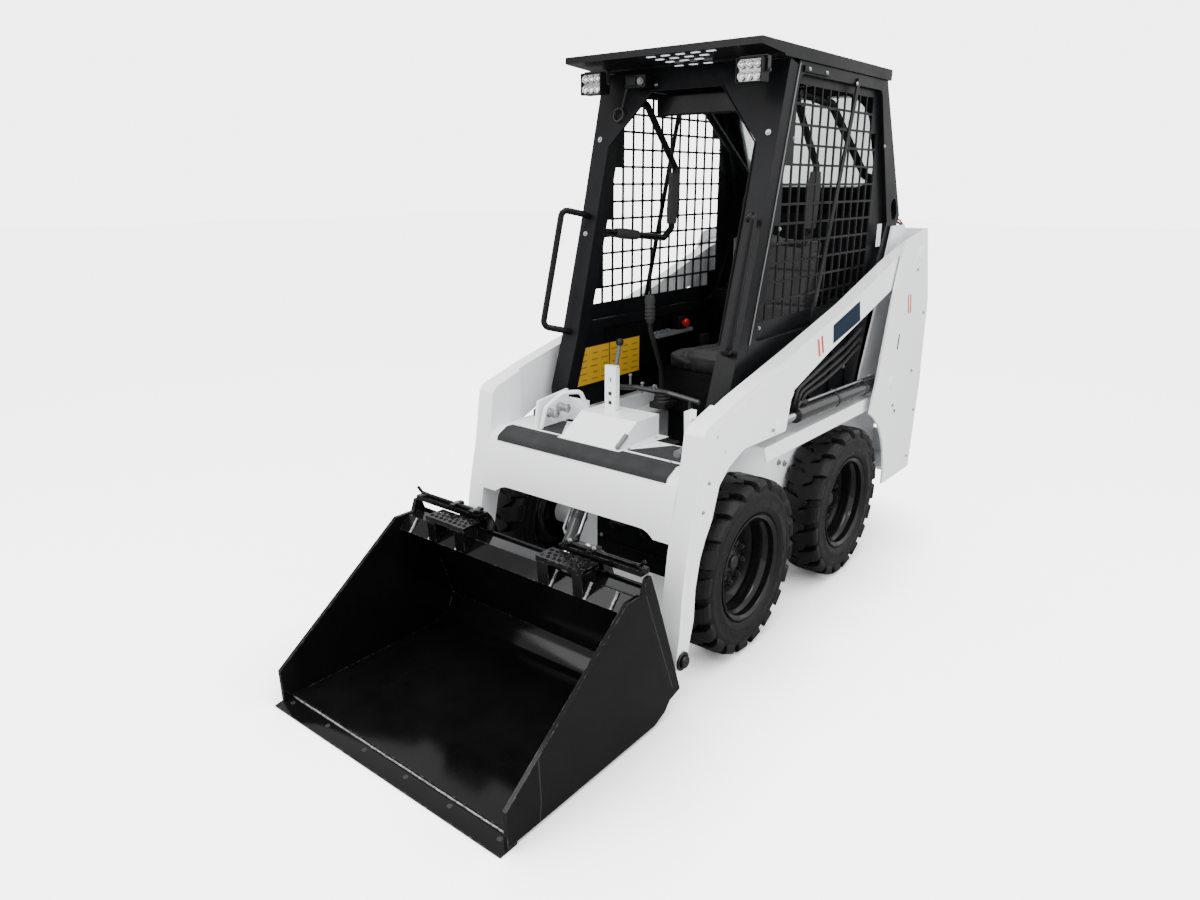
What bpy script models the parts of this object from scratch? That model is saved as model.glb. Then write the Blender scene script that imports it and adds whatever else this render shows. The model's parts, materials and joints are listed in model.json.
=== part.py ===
"""Small skid steer loader: chassis, canopy, radial-lift boom, cylinders, bucket and wheels.

+X is forward, +Y is left, +Z is up, in metres. The ground is z = 0.
"""

import math

import bmesh
import bpy
from mathutils import Vector

# Running gear
WHEELBASE = 0.722
FRONT_AXLE_X = 0.130
TYRE_RADIUS = 0.285
TYRE_WIDTH = 0.145
TYRE_OUTER_Y = 0.450
RIM_RADIUS = 0.1715
RIM_BARREL_RADIUS = 0.160
AXLE_TUBE_RADIUS = 0.045
WHEEL_GAP = 0.007
WHEEL_SIDES = 32

# Clearances
SEAT_GAP = 0.0003
PIN_GAP = 0.0006

# Tub
TUB_REAR_X = -1.200
TUB_FRONT_X = 0.160
TUB_FLOOR_Z = 0.135
TUB_TOP_Z = 0.600
TUB_BAY_HALF = 0.190
PLATE = 0.010

# Fenders
FENDER_TOP_Z = 0.652
FENDER_LIP_Z = 0.600
FENDER_OUTER_Y = 0.420
FENDER_PLATE = 0.006

# Uprights and boom
UPRIGHT_OUTER_Y = 0.450
UPRIGHT_INNER_Y = 0.352
UPRIGHT_PLATE = 0.008
ARCH_RADIUS = 0.345
BOOM_PIVOT = (-1.106, 1.172)
ARM_OUTER_Y = 0.435
ARM_INNER_Y = 0.385
LEG_INNER_Y = 0.372
ARM_END_RADIUS = 0.052
PIN_RADIUS = 0.020
KNEE_PLATE = 0.008
LIFT_BASE = (-0.925, 0.690)
LIFT_EYE = (0.006, 0.714)
LIFT_Y = 0.410
LIFT_BARREL_RADIUS = 0.0245
LIFT_ROD_RADIUS = 0.0150
LIFT_BARREL_LENGTH = 0.755
LIFT_ROD_LENGTH = 0.868
LIFT_EYE_RADIUS = 0.025
LIFT_EYE_HALF = 0.013

# Coupler, tilt cylinder and bucket
COUPLER_PIVOT = (0.505, 0.130)
COUPLER_PIN_RADIUS = 0.019
TILT_BASE = (0.2935, 0.681)
TILT_EYE = (0.540, 0.281)
TILT_BARREL_RADIUS = 0.0235
TILT_ROD_RADIUS = 0.0150
TILT_BARREL_LENGTH = 0.376
TILT_ROD_LENGTH = 0.372
TILT_EYE_RADIUS = 0.022
TILT_EYE_HALF = 0.020
EAR_PLATE = 0.012
EAR_GAP = 0.006
BUCKET_HALF = 0.457
BUCKET_PLATE = 0.008
BUCKET_SIDE_PLATE = 0.012
BACK_LOW = (0.577, 0.100)
BACK_HIGH = (0.672, 0.397)
EDGE_FRONT_X = 1.261
EDGE_DEPTH = 0.056

# Cab
CAB_HALF = 0.345
CAB_WALL = 0.040
CAB_TOP_Z = 1.778
ROOF_HALF = 0.352
ROOF_TOP_Z = 1.814
ROOF_FRONT_X = 0.075
ROOF_REAR_X = -0.879
POST_WIDTH = 0.070
POST_DEPTH = 0.055
GUSSET_PLATE = 0.010
SCREEN_PLATE = 0.005
CAB_FLOOR_Z = 0.420
HANDLE_RADIUS = 0.011
BAR_RADIUS = 0.015
SEAT_BAR_PIVOT = (-0.975, 1.450)

# Rear body
DOOR_REAR_X = -1.252
DOOR_PLATE = 0.045
DOOR_HALF = 0.322
DOOR_LOW_Z = 0.430
DOOR_HIGH_Z = 0.945
HINGE_RADIUS = 0.009
HINGE_HEIGHTS = (0.500, 0.830)

REAR_AXLE_X = FRONT_AXLE_X - WHEELBASE
AXLE_Z = TYRE_RADIUS
TYRE_INNER_Y = TYRE_OUTER_Y - TYRE_WIDTH
TYRE_MID_Y = TYRE_OUTER_Y - TYRE_WIDTH / 2
TUB_HALF = TYRE_INNER_Y - WHEEL_GAP
AXLE_END_Y = TYRE_INNER_Y + 0.038


def clear_scene():
    for obj in list(bpy.data.objects):
        bpy.data.objects.remove(obj)


def paint(name, color, roughness, metallic=0.0, alpha=1.0):
    material = bpy.data.materials.new(name)
    material.use_nodes = True
    shader = material.node_tree.nodes["Principled BSDF"]
    shader.inputs["Base Color"].default_value = (*color, 1.0)
    shader.inputs["Roughness"].default_value = roughness
    shader.inputs["Metallic"].default_value = metallic
    shader.inputs["Alpha"].default_value = alpha
    return material


def add_object(name, bm):
    bmesh.ops.recalc_face_normals(bm, faces=bm.faces)
    mesh = bpy.data.meshes.new(name)
    bm.to_mesh(mesh)
    bm.free()
    obj = bpy.data.objects.new(name, mesh)
    bpy.context.scene.collection.objects.link(obj)
    return obj


def prism(outline, low, high, axis="Y"):
    """A flat outline drawn out between two places along an axis.

    The outline is (x, z) for axis Y, (x, y) for axis Z and (y, z) for axis X.
    """
    def place(point, along):
        first, second = point
        if axis == "Y":
            return (first, along, second)
        if axis == "Z":
            return (first, second, along)
        return (along, first, second)

    bm = bmesh.new()
    ends = [[bm.verts.new(place(p, along)) for p in outline] for along in (low, high)]
    count = len(outline)
    for index in range(count):
        after = (index + 1) % count
        bm.faces.new((ends[0][index], ends[0][after], ends[1][after], ends[1][index]))
    bm.faces.new(ends[0])
    bm.faces.new(ends[1])
    return add_object("prism", bm)


def box(low, high):
    outline = [(low[0], low[2]), (high[0], low[2]), (high[0], high[2]), (low[0], high[2])]
    return prism(outline, low[1], high[1])


def rod(start, end, radius, sides=24):
    """A round bar between two points."""
    start, end = Vector(start), Vector(end)
    along = (end - start).normalized()
    across = along.cross(Vector((0, 1, 0) if abs(along.y) < 0.9 else (1, 0, 0))).normalized()
    other = along.cross(across)
    bm = bmesh.new()
    rings = []
    for centre in (start, end):
        ring = []
        for step in range(sides):
            turn = 2 * math.pi * (step + 0.5) / sides
            ring.append(bm.verts.new(centre + radius * (math.cos(turn) * across + math.sin(turn) * other)))
        rings.append(ring)
    for step in range(sides):
        after = (step + 1) % sides
        bm.faces.new((rings[0][step], rings[0][after], rings[1][after], rings[1][step]))
    bm.faces.new(rings[0])
    bm.faces.new(rings[1])
    return add_object("rod", bm)


def turned(profile, centre, sides):
    """A closed (radius, y) profile turned about the Y axis through centre = (x, z)."""
    bm = bmesh.new()
    rings = []
    for radius, y in profile:
        if radius < 1e-6:
            rings.append([bm.verts.new((centre[0], y, centre[1]))])
            continue
        ring = []
        for step in range(sides):
            turn = 2 * math.pi * step / sides
            x = centre[0] + radius * math.cos(turn)
            z = centre[1] + radius * math.sin(turn)
            ring.append(bm.verts.new((x, y, z)))
        rings.append(ring)
    for index, ring in enumerate(rings):
        following = rings[(index + 1) % len(rings)]
        if len(ring) == 1 and len(following) == 1:
            continue
        for step in range(sides):
            after = (step + 1) % sides
            if len(ring) == 1:
                bm.faces.new((ring[0], following[step], following[after]))
            elif len(following) == 1:
                bm.faces.new((ring[step], following[0], ring[after]))
            else:
                bm.faces.new((ring[step], following[step], following[after], ring[after]))
    return add_object("turned", bm)


def arc(centre, radius, start, end, steps):
    """Points of an arc in a plane, angles in degrees."""
    points = []
    for step in range(steps + 1):
        turn = math.radians(start + (end - start) * step / steps)
        points.append((centre[0] + radius * math.cos(turn), centre[1] + radius * math.sin(turn)))
    return points


def spokes(first, last, radius, steps):
    """Radii that turn from first to last."""
    turned_spokes = []
    for step in range(steps + 1):
        blend = first.lerp(last, step / steps)
        turned_spokes.append(blend.normalized() * radius)
    return turned_spokes


def rounded(outline, radii, steps=4):
    """The outline with its corners turned into arcs; radii maps a corner's index to its radius."""
    points = []
    count = len(outline)
    for index, corner in enumerate(outline):
        radius = radii.get(index, 0.0)
        if radius == 0.0:
            points.append(corner)
            continue
        here = Vector(corner)
        back = (Vector(outline[index - 1]) - here).normalized()
        ahead = (Vector(outline[(index + 1) % count]) - here).normalized()
        half = back.angle(ahead) / 2
        middle = here + (back + ahead).normalized() * radius / math.sin(half)
        first = here + back * radius / math.tan(half) - middle
        last = here + ahead * radius / math.tan(half) - middle
        points += [tuple(middle + spoke) for spoke in spokes(first, last, radius, steps)]
    return points


def bent(path, thickness):
    """The closed outline of a plate of even thickness that follows a path, on its left side."""
    line = [Vector(p) for p in path]
    other = []
    for index, here in enumerate(line):
        back = (here - line[index - 1]).normalized() if index else None
        ahead = (line[index + 1] - here).normalized() if index + 1 < len(line) else None
        back = back or ahead
        ahead = ahead or back
        normal = Vector((-back.y, back.x)) + Vector((-ahead.y, ahead.x))
        normal.normalize()
        stretch = normal.dot(Vector((-ahead.y, ahead.x)))
        other.append(here + normal * thickness / stretch)
    return [tuple(p) for p in line] + [tuple(p) for p in reversed(other)]


def combine(base, others, operation):
    for other in others:
        modifier = base.modifiers.new(operation.title(), "BOOLEAN")
        modifier.operation = operation
        modifier.solver = "EXACT"
        modifier.object = other
        other.hide_render = True
        other.display_type = "WIRE"


def make(name, material, base, joined=(), cuts=()):
    """One named piece: a base shape with others joined to it and cuts taken from it."""
    combine(base, joined, "UNION")
    combine(base, cuts, "DIFFERENCE")
    for number, other in enumerate([*joined, *cuts], start=1):
        other.name = f"{name}_guide_{number}"
    base.name = name
    base.data.name = name
    base.data.materials.append(material)
    base.data.shade_smooth()
    base.data.set_sharp_from_angle(angle=math.radians(35))
    return base


def tube(name, material, points, radius, sides=2):
    """A round bar bent along a line of points, its corners softened by the points themselves."""
    curve = bpy.data.curves.new(name, "CURVE")
    curve.dimensions = "3D"
    curve.bevel_depth = radius
    curve.bevel_resolution = sides
    curve.use_fill_caps = True
    spline = curve.splines.new("POLY")
    spline.points.add(len(points) - 1)
    for spot, point in zip(spline.points, points):
        spot.co = (*point, 1.0)
    curve.materials.append(material)
    obj = bpy.data.objects.new(name, curve)
    bpy.context.scene.collection.objects.link(obj)
    return obj


def smooth_path(corners, radius, steps=3):
    """A path through 3D corners with each inner corner turned into an arc."""
    points = [Vector(corners[0])]
    for index in range(1, len(corners) - 1):
        here = Vector(corners[index])
        back = (Vector(corners[index - 1]) - here).normalized()
        ahead = (Vector(corners[index + 1]) - here).normalized()
        half = back.angle(ahead) / 2
        middle = here + (back + ahead).normalized() * radius / math.sin(half)
        first = here + back * radius / math.tan(half) - middle
        last = here + ahead * radius / math.tan(half) - middle
        points += [middle + spoke for spoke in spokes(first, last, radius, steps)]
    points.append(Vector(corners[-1]))
    return points


def pivot(name, place):
    empty = bpy.data.objects.new(name, None)
    empty.location = place
    bpy.context.scene.collection.objects.link(empty)
    return empty


def hang(holder, pieces):
    """Parents pieces to an empty on their joint's axis, keeping them where they are."""
    for piece in pieces:
        piece.parent = holder
        piece.location = piece.location - holder.location


def side_name(side):
    return "left" if side > 0 else "right"


def span(side, first, second):
    """The low and high Y of a stretch given for the left side."""
    return tuple(sorted((side * first, side * second)))


def spread(place, y):
    return (place[0], y, place[1])


def make_lower_frame(white):
    profile = [
        (TUB_REAR_X, 0.200), (-1.130, TUB_FLOOR_Z), (0.100, TUB_FLOOR_Z), (TUB_FRONT_X, 0.200),
        (TUB_FRONT_X, TUB_TOP_Z), (TUB_REAR_X, TUB_TOP_Z),
    ]
    frame = prism(profile, -TUB_HALF, TUB_HALF)
    bay = box(
        (TUB_REAR_X + PLATE, -TUB_BAY_HALF, 0.200),
        (TUB_FRONT_X - PLATE, TUB_BAY_HALF, TUB_TOP_Z + PLATE),
    )
    housings = []
    for axle_x in (FRONT_AXLE_X, REAR_AXLE_X):
        for side in (1, -1):
            start = (axle_x, side * (TUB_HALF - 0.02), AXLE_Z)
            end = (axle_x, side * AXLE_END_Y, AXLE_Z)
            housings.append(rod(start, end, AXLE_TUBE_RADIUS))
    return make("lower_frame", white, frame, housings, [bay])


def make_fender(side, white):
    """A ledge with an outer lip and an inner upright wall that stands on the tub."""
    front_x, rear_x = 0.045, -0.800
    wall_y = TUB_HALF - 0.004
    ledge = [
        (wall_y, TUB_TOP_Z + SEAT_GAP), (wall_y, FENDER_TOP_Z), (FENDER_OUTER_Y, FENDER_TOP_Z),
        (FENDER_OUTER_Y, FENDER_LIP_Z),
    ]
    section = [(side * y, z) for y, z in bent(ledge, -FENDER_PLATE)]
    body = prism(section, rear_x, front_x, axis="X")
    slant = [
        (front_x - 0.035, FENDER_LIP_Z - 0.05), (front_x + 0.05, FENDER_LIP_Z - 0.05),
        (front_x + 0.05, FENDER_TOP_Z - 0.012), (front_x, FENDER_TOP_Z - 0.012),
    ]
    low, high = span(side, FENDER_OUTER_Y - 0.03, FENDER_OUTER_Y + 0.02)
    return make(f"{side_name(side)}_fender", white, body, [], [prism(slant, low, high)])


def upright_outline():
    """Outer plate, from the top at the front round to the wheel arch."""
    arch = arc((REAR_AXLE_X, AXLE_Z), ARCH_RADIUS, 183.5, 113.5, 8)
    return [
        (-0.935, 1.230), (-1.145, 1.265), (-1.244, 0.975), (-1.261, 0.636), (-1.234, 0.263),
        *arch, (-0.744, 0.656), (-0.761, 0.700), (-0.844, 1.016), (-0.899, 1.177),
    ]


def make_upright(side, white):
    low, high = span(side, UPRIGHT_OUTER_Y - UPRIGHT_PLATE, UPRIGHT_OUTER_Y)
    outer = prism(upright_outline(), low, high)
    inner_outline = [
        (-1.014, 1.275), (-1.145, 1.275), (-1.240, 0.975), (-1.257, 0.636), (-1.232, TUB_TOP_Z + 0.002),
        (-0.790, TUB_TOP_Z + 0.002), (-0.831, 0.742), (-0.929, 0.989), (-0.952, 1.100),
    ]
    low, high = span(side, UPRIGHT_INNER_Y, UPRIGHT_INNER_Y + UPRIGHT_PLATE)
    inner = prism(inner_outline, low, high)
    back = [
        (-1.150, 1.2640), (-1.2490, 0.975), (-1.2600, 0.636), (-1.2330, 0.263), (-1.2230, 0.263),
        (-1.2500, 0.636), (-1.2380, 0.975), (-1.1700, 1.175),
    ]
    low, high = span(side, UPRIGHT_INNER_Y + 0.001, UPRIGHT_OUTER_Y - 0.001)
    web = prism(back, low, high)
    foot_low, foot_high = span(side, TUB_HALF + SEAT_GAP, UPRIGHT_OUTER_Y - 0.001)
    foot = box((TUB_REAR_X + 0.001, foot_low, 0.300), (-1.000, foot_high, 0.312))
    joined = [inner, web, foot]
    for place, radius in ((BOOM_PIVOT, PIN_RADIUS), (LIFT_BASE, PIN_RADIUS)):
        start = spread(place, side * (UPRIGHT_INNER_Y + 0.001))
        end = spread(place, side * (UPRIGHT_OUTER_Y - 0.001))
        joined.append(rod(start, end, radius))
    if side < 0:
        for low_z in HINGE_HEIGHTS:
            tab = box((DOOR_REAR_X - 0.005, -UPRIGHT_INNER_Y - 0.004, low_z - 0.012),
                      (DOOR_REAR_X + 0.010, -DOOR_HALF - 0.005, low_z - PIN_GAP))
            joined.append(tab)
    return make(f"{side_name(side)}_upright", white, outer, joined)


def make_rear_bumper(white):
    """Cross plate low down between the uprights, behind the tub."""
    half = UPRIGHT_INNER_Y + 0.001 - SEAT_GAP
    plate = box((-1.220, -half, 0.265), (TUB_REAR_X - SEAT_GAP, half, 0.415))
    slot = box((-1.260, -0.14, 0.315), (-1.150, 0.14, 0.365))
    return make("rear_bumper", white, plate, [], [slot])


def make_engine_block(metal):
    return make("engine_block", metal, box((-1.150, -0.170, 0.2003), (-0.830, 0.170, 0.740)))


def make_hood(white):
    """Top cover between the uprights, from under the cab's rear to the door's top."""
    line = [(-1.0275, 1.145), (-1.120, 1.150), (-1.200, 1.100), (-1.236, 0.958)]
    half = UPRIGHT_INNER_Y - SEAT_GAP
    cover = prism(bent(line, -0.012), -half, half)
    return make("engine_hood", white, cover)


def make_rear_door(white):
    """Door plate with a grille, hinged on the right."""
    outline = [
        (DOOR_REAR_X, DOOR_LOW_Z), (DOOR_REAR_X + DOOR_PLATE, DOOR_LOW_Z),
        (DOOR_REAR_X + DOOR_PLATE, DOOR_HIGH_Z), (DOOR_REAR_X, DOOR_HIGH_Z),
    ]
    plate = prism(outline, -DOOR_HALF, DOOR_HALF)
    tray = box(
        (DOOR_REAR_X + 0.008, -DOOR_HALF + 0.012, DOOR_LOW_Z + 0.012),
        (DOOR_REAR_X + DOOR_PLATE + 0.01, DOOR_HALF - 0.012, DOOR_HIGH_Z - 0.012),
    )
    slots = []
    for row in range(7):
        low_z = 0.660 + row * 0.034
        slots.append(box((DOOR_REAR_X - 0.01, -0.220, low_z), (DOOR_REAR_X + 0.02, 0.220, low_z + 0.016)))
    knuckles = []
    hinge_y = -DOOR_HALF - 0.012
    for low_z in HINGE_HEIGHTS:
        start = (DOOR_REAR_X + 0.001, hinge_y, low_z)
        end = (DOOR_REAR_X + 0.001, hinge_y, low_z + 0.050)
        knuckles.append(rod(start, end, HINGE_RADIUS, 16))
        leaf = box((DOOR_REAR_X, hinge_y, low_z + 0.002), (DOOR_REAR_X + 0.006, -DOOR_HALF + 0.01, low_z + 0.048))
        knuckles.append(leaf)
    door = make("rear_door", white, plate, knuckles, [tray, *slots])
    holder = pivot("rear_door_pivot", (DOOR_REAR_X + 0.001, hinge_y, 0.0))
    hang(holder, [door])
    return door


def post_edge(z):
    """X of the front edge of the cab's leaning posts at a height."""
    corners = [(0.177, 0.757), (0.117, 0.930), (0.004, 1.330), (-0.094, 1.711), (-0.112, CAB_TOP_Z)]
    if z <= corners[0][1]:
        return corners[0][0]
    for low, high in zip(corners, corners[1:]):
        if z <= high[1]:
            return low[0] + (high[0] - low[0]) * (z - low[1]) / (high[1] - low[1])
    return corners[-1][0]


CAB_FRONT_HEIGHTS = (TUB_TOP_Z + SEAT_GAP, 0.757, 0.930, 1.330, 1.711, CAB_TOP_Z)


def make_cab_front(black):
    """Both front posts, the header and its gussets, in one frame that leans with the posts."""
    front = [(post_edge(z), z) for z in CAB_FRONT_HEIGHTS]
    frame = prism(bent(front, POST_DEPTH), -CAB_HALF, CAB_HALF)
    inner = CAB_HALF - POST_WIDTH
    opening = [
        (-inner, 0.60), (inner, 0.60), (inner, 1.554), (0.130, 1.715), (-0.130, 1.715), (-inner, 1.554),
    ]
    cut = prism(opening, -0.60, 0.40, axis="X")
    behind_header = prism(
        [(post_edge(z) - GUSSET_PLATE, z) for z in (1.40, 1.711, 1.765)] + [(-0.40, 1.765), (-0.40, 1.40)],
        -inner, inner,
    )
    return make("cab_front_frame", black, frame, [], [cut, behind_header])


def cab_side_outline():
    """Side panel behind the front frame, down to the tub."""
    front = [(post_edge(z) - POST_DEPTH * 1.06 - SEAT_GAP, z) for z in (0.757, 0.930, 1.330, 1.711, CAB_TOP_Z)]
    return [
        *reversed(front), (front[0][0], FENDER_TOP_Z + 0.012), (-0.800, FENDER_TOP_Z + 0.012),
        (-0.905, 1.000), (-1.058, 1.200), (-1.112, 1.312), (-0.865, CAB_TOP_Z),
    ]


def window_outline():
    return [(-0.185, 1.742), (-0.070, 1.300), (0.024, 0.968), (-0.820, 0.968), (-0.985, 1.290), (-0.820, 1.742)]


def make_cab_side(side, black):
    low, high = span(side, CAB_HALF - CAB_WALL, CAB_HALF)
    panel = prism(cab_side_outline(), low, high)
    window = rounded(window_outline(), {0: 0.03, 2: 0.03, 3: 0.03, 5: 0.03})
    low, high = span(side, CAB_HALF - 2 * CAB_WALL, CAB_HALF + CAB_WALL)
    hole = prism(window, low, high)
    recess_low, recess_high = span(side, CAB_HALF - 2 * CAB_WALL, CAB_HALF - 0.008)
    hollow = prism(
        [(-0.060, 0.935), (-0.060, 0.690), (-0.760, 0.690), (-0.800, 0.935)], recess_low, recess_high,
    )
    return make(f"cab_{side_name(side)}_side", black, panel, [], [hole, hollow])


def make_screen(side, black):
    """Side screen as a thin sheet that fills the window."""
    outline = rounded(window_outline(), {0: 0.03, 2: 0.03, 3: 0.03, 5: 0.03})
    centre = Vector((-0.45, 1.33))
    shrunk = []
    for point in outline:
        offset = Vector(point) - centre
        shrunk.append(tuple(centre + offset * (1 - 0.0008 / offset.length)))
    middle = CAB_HALF - CAB_WALL / 2
    low, high = span(side, middle - SCREEN_PLATE / 2, middle + SCREEN_PLATE / 2)
    return make(f"{side_name(side)}_screen", black, prism(shrunk, low, high))


def make_roof(black):
    """Roof plate with a rim turned down all round and a visor ledge in front."""
    roof = box((ROOF_REAR_X, -ROOF_HALF, CAB_TOP_Z + SEAT_GAP), (ROOF_FRONT_X, ROOF_HALF, ROOF_TOP_Z))
    tray = box(
        (ROOF_REAR_X + 0.03, -ROOF_HALF + 0.03, CAB_TOP_Z - 0.01),
        (-0.150, ROOF_HALF - 0.03, ROOF_TOP_Z - 0.012),
    )
    under = prism(
        [(-0.090, CAB_TOP_Z - 0.02), (0.120, CAB_TOP_Z - 0.02), (0.120, ROOF_TOP_Z - 0.016),
         (-0.060, CAB_TOP_Z + 0.006)],
        -0.50, 0.50,
    )
    return make("cab_roof", black, roof, [], [tray, under])


def rear_window_outline(inset):
    """The rear window's opening, as (y, z), drawn in by an inset."""
    half, low, high = 0.272 - inset, 1.415 + inset, 1.738 - inset
    corners = [(-half, low), (half, low), (half, high), (-half, high)]
    return rounded(corners, {index: 0.085 for index in range(4)}, 5)


def make_rear_wall(black):
    """Rear wall between the side panels, with the window cut."""
    half = CAB_HALF - CAB_WALL - SEAT_GAP
    line = [(-0.905, 1.002), (-1.050, 1.200), (-1.098, 1.312), (-0.862, CAB_TOP_Z)]
    wall = prism(bent(line, -0.020), -half, half)
    hole = prism(rear_window_outline(0.0), -1.3, -0.5, axis="X")
    base = box((-0.820, -half, TUB_TOP_Z + 0.002), (-0.800, half, 1.010))
    shelf = box((-0.915, -half, 0.990), (-0.801, half, 1.010))
    return make("cab_rear_wall", black, wall, [base, shelf], [hole])


def rear_slope_x(z):
    """X of the inner face of the rear wall's upper slope at a height."""
    low, high = (-1.098, 1.312), (-0.862, CAB_TOP_Z)
    return low[0] + (high[0] - low[0]) * (z - low[1]) / (high[1] - low[1])


def make_rear_window(glass):
    """Glass pane held in the window's opening."""
    pane = prism(rear_window_outline(0.0005), -1.3, -0.5, axis="X")
    slab_line = [(rear_slope_x(z) + 0.008, z) for z in (1.38, 1.76)]
    slab = prism(bent(slab_line, -0.005), -0.40, 0.40)
    combine(slab, [pane], "INTERSECT")
    pane.name = "rear_window_guide_1"
    return make("rear_window", glass, slab)


def make_work_light(side, lamp):
    """Lamp body under the visor, held by a short stalk to the roof's edge."""
    middle = side * 0.287
    body = box((-0.030, middle - 0.042, 1.702), (0.030, middle + 0.042, 1.772))
    stalk = box((-0.018, middle - 0.010, 1.765), (0.012, middle + 0.010, 1.7870))
    return make(f"{side_name(side)}_work_light", lamp, body, [stalk])


def make_grab_handle(side, black):
    """Loop handle that stands forward of and beside a front post."""
    low_z, high_z = 0.945, 1.325
    y_in, y_out = side * (CAB_HALF - 0.030), side * (CAB_HALF + 0.018)
    reach = 0.085
    lean = Vector((0.962, 0.0, 0.272))
    feet = []
    for z in (low_z, high_z):
        feet.append(Vector((post_edge(z), y_in, z)) + lean * 2 * SEAT_GAP)
    corners = [
        feet[0], feet[0] + lean * 0.030, feet[0] + lean * reach + Vector((0, y_out - y_in, 0)),
        feet[1] + lean * reach + Vector((0, y_out - y_in, 0)), feet[1] + lean * 0.030, feet[1],
    ]
    points = smooth_path(corners, 0.020)
    return tube(f"{side_name(side)}_grab_handle", black, points, HANDLE_RADIUS)


def make_cab_floor(black):
    """Footwell floor and the seat box behind it."""
    inner = TUB_BAY_HALF - 0.002
    floor = box((-0.330, -inner, CAB_FLOOR_Z), (TUB_FRONT_X - PLATE - SEAT_GAP, inner, CAB_FLOOR_Z + 0.010))
    seat_box = box((-0.798, -0.230, TUB_TOP_Z + 0.001), (-0.300, 0.230, 0.760))
    riser = box((-0.345, -inner, CAB_FLOOR_Z), (-0.320, inner, TUB_TOP_Z + 0.02))
    return make("cab_floor", black, floor, [riser, seat_box])


def make_seat(vinyl):
    cushion_outline = rounded(
        [(-0.740, 0.7605), (-0.320, 0.7605), (-0.305, 0.840), (-0.740, 0.810)], {2: 0.03, 3: 0.01},
    )
    cushion = make("seat_cushion", vinyl, prism(cushion_outline, -0.215, 0.215))
    back_outline = rounded(
        [(-0.745, 0.8106), (-0.670, 0.8160), (-0.735, 1.250), (-0.796, 1.240)],
        {1: 0.01, 2: 0.03, 3: 0.02},
    )
    back = make("seat_back", vinyl, prism(back_outline, -0.205, 0.205))
    return cushion, back


def make_hand_rail(side, black):
    """Fixed rail inside a side panel: down from the window's top, then forward to the post."""
    y_wall = side * (CAB_HALF - CAB_WALL - SEAT_GAP)
    y = side * (CAB_HALF - CAB_WALL - 0.022)
    corners = [
        (-0.275, y_wall, 1.697), (-0.275, y, 1.697), (-0.466, y, 1.486), (-0.449, y, 1.270), (-0.400, y, 1.236),
        (-0.054, y, 1.272), (-0.054, y_wall, 1.272),
    ]
    return tube(f"{side_name(side)}_hand_rail", black, smooth_path(corners, 0.010), 0.012)


def make_seat_bar(black):
    """Raised lap bar with two side arms, hinged on the panels' rear pillars."""
    y = CAB_HALF - CAB_WALL - 0.055
    y_wall = CAB_HALF - CAB_WALL - PIN_GAP
    hinge_x, hinge_z = SEAT_BAR_PIVOT
    one_side = [(hinge_x, y_wall, hinge_z), (hinge_x, y, hinge_z), (-0.620, y, 1.690), (-0.348, y, 1.712)]
    corners = one_side + [(x, -across, z) for x, across, z in reversed(one_side)]
    bar = tube("seat_bar", black, smooth_path(corners, 0.025), BAR_RADIUS)
    holder = pivot("seat_bar_pivot", (hinge_x, 0.0, hinge_z))
    hang(holder, [bar])
    return bar


def arm_outline():
    """Whole silhouette of an arm: beam, knee and front leg, starting at the knee's top."""
    tail = arc(BOOM_PIVOT, ARM_END_RADIUS, 95, 262, 8)
    foot = arc(COUPLER_PIVOT, 0.031, 200, 350, 6)
    return [
        (0.413, 0.800), (0.248, 0.850), (-0.115, 0.940), (-0.479, 1.036), (-0.890, 1.168), *tail,
        (-0.909, 1.066), (-0.597, 0.972), (-0.345, 0.896), (-0.100, 0.812), (-0.077, 0.784), (-0.057, 0.687),
        (0.204, 0.692), (0.286, 0.659), (0.338, 0.615), (0.370, 0.522), (0.404, 0.468), (0.427, 0.418),
        (0.446, 0.332), (0.449, 0.236), (0.465, 0.179), *foot,
        (0.522, 0.210), (0.515, 0.330), (0.500, 0.440), (0.480, 0.530), (0.460, 0.610), (0.445, 0.700),
        (0.432, 0.780),
    ]


def make_arm(side, white):
    """Arm of the boom. The beam is thinner than the leg, and the knee is a clevis open below."""
    low, high = span(side, LEG_INNER_Y, ARM_OUTER_Y)
    body = prism(arm_outline(), low, high)
    low, high = span(side, LEG_INNER_Y - 0.05, ARM_INNER_Y)
    recess = box((-1.300, low, 0.500), (0.300, high, 1.400))
    clevis = [
        (-0.200, 0.600), (-0.200, 0.835), (-0.100, 0.803), (0.050, 0.775), (0.200, 0.750), (0.280, 0.670),
        (0.280, 0.600),
    ]
    low, high = span(side, ARM_INNER_Y + KNEE_PLATE, ARM_OUTER_Y - KNEE_PLATE)
    slot = prism(clevis, low, high)
    bore = rod(spread(BOOM_PIVOT, side * 0.30), spread(BOOM_PIVOT, side * 0.50), PIN_RADIUS + PIN_GAP)
    foot_bore = rod(spread(COUPLER_PIVOT, side * 0.30), spread(COUPLER_PIVOT, side * 0.50),
                    COUPLER_PIN_RADIUS + PIN_GAP)
    return make(f"{side_name(side)}_arm", white, body, [], [recess, slot, bore, foot_bore])


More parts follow.
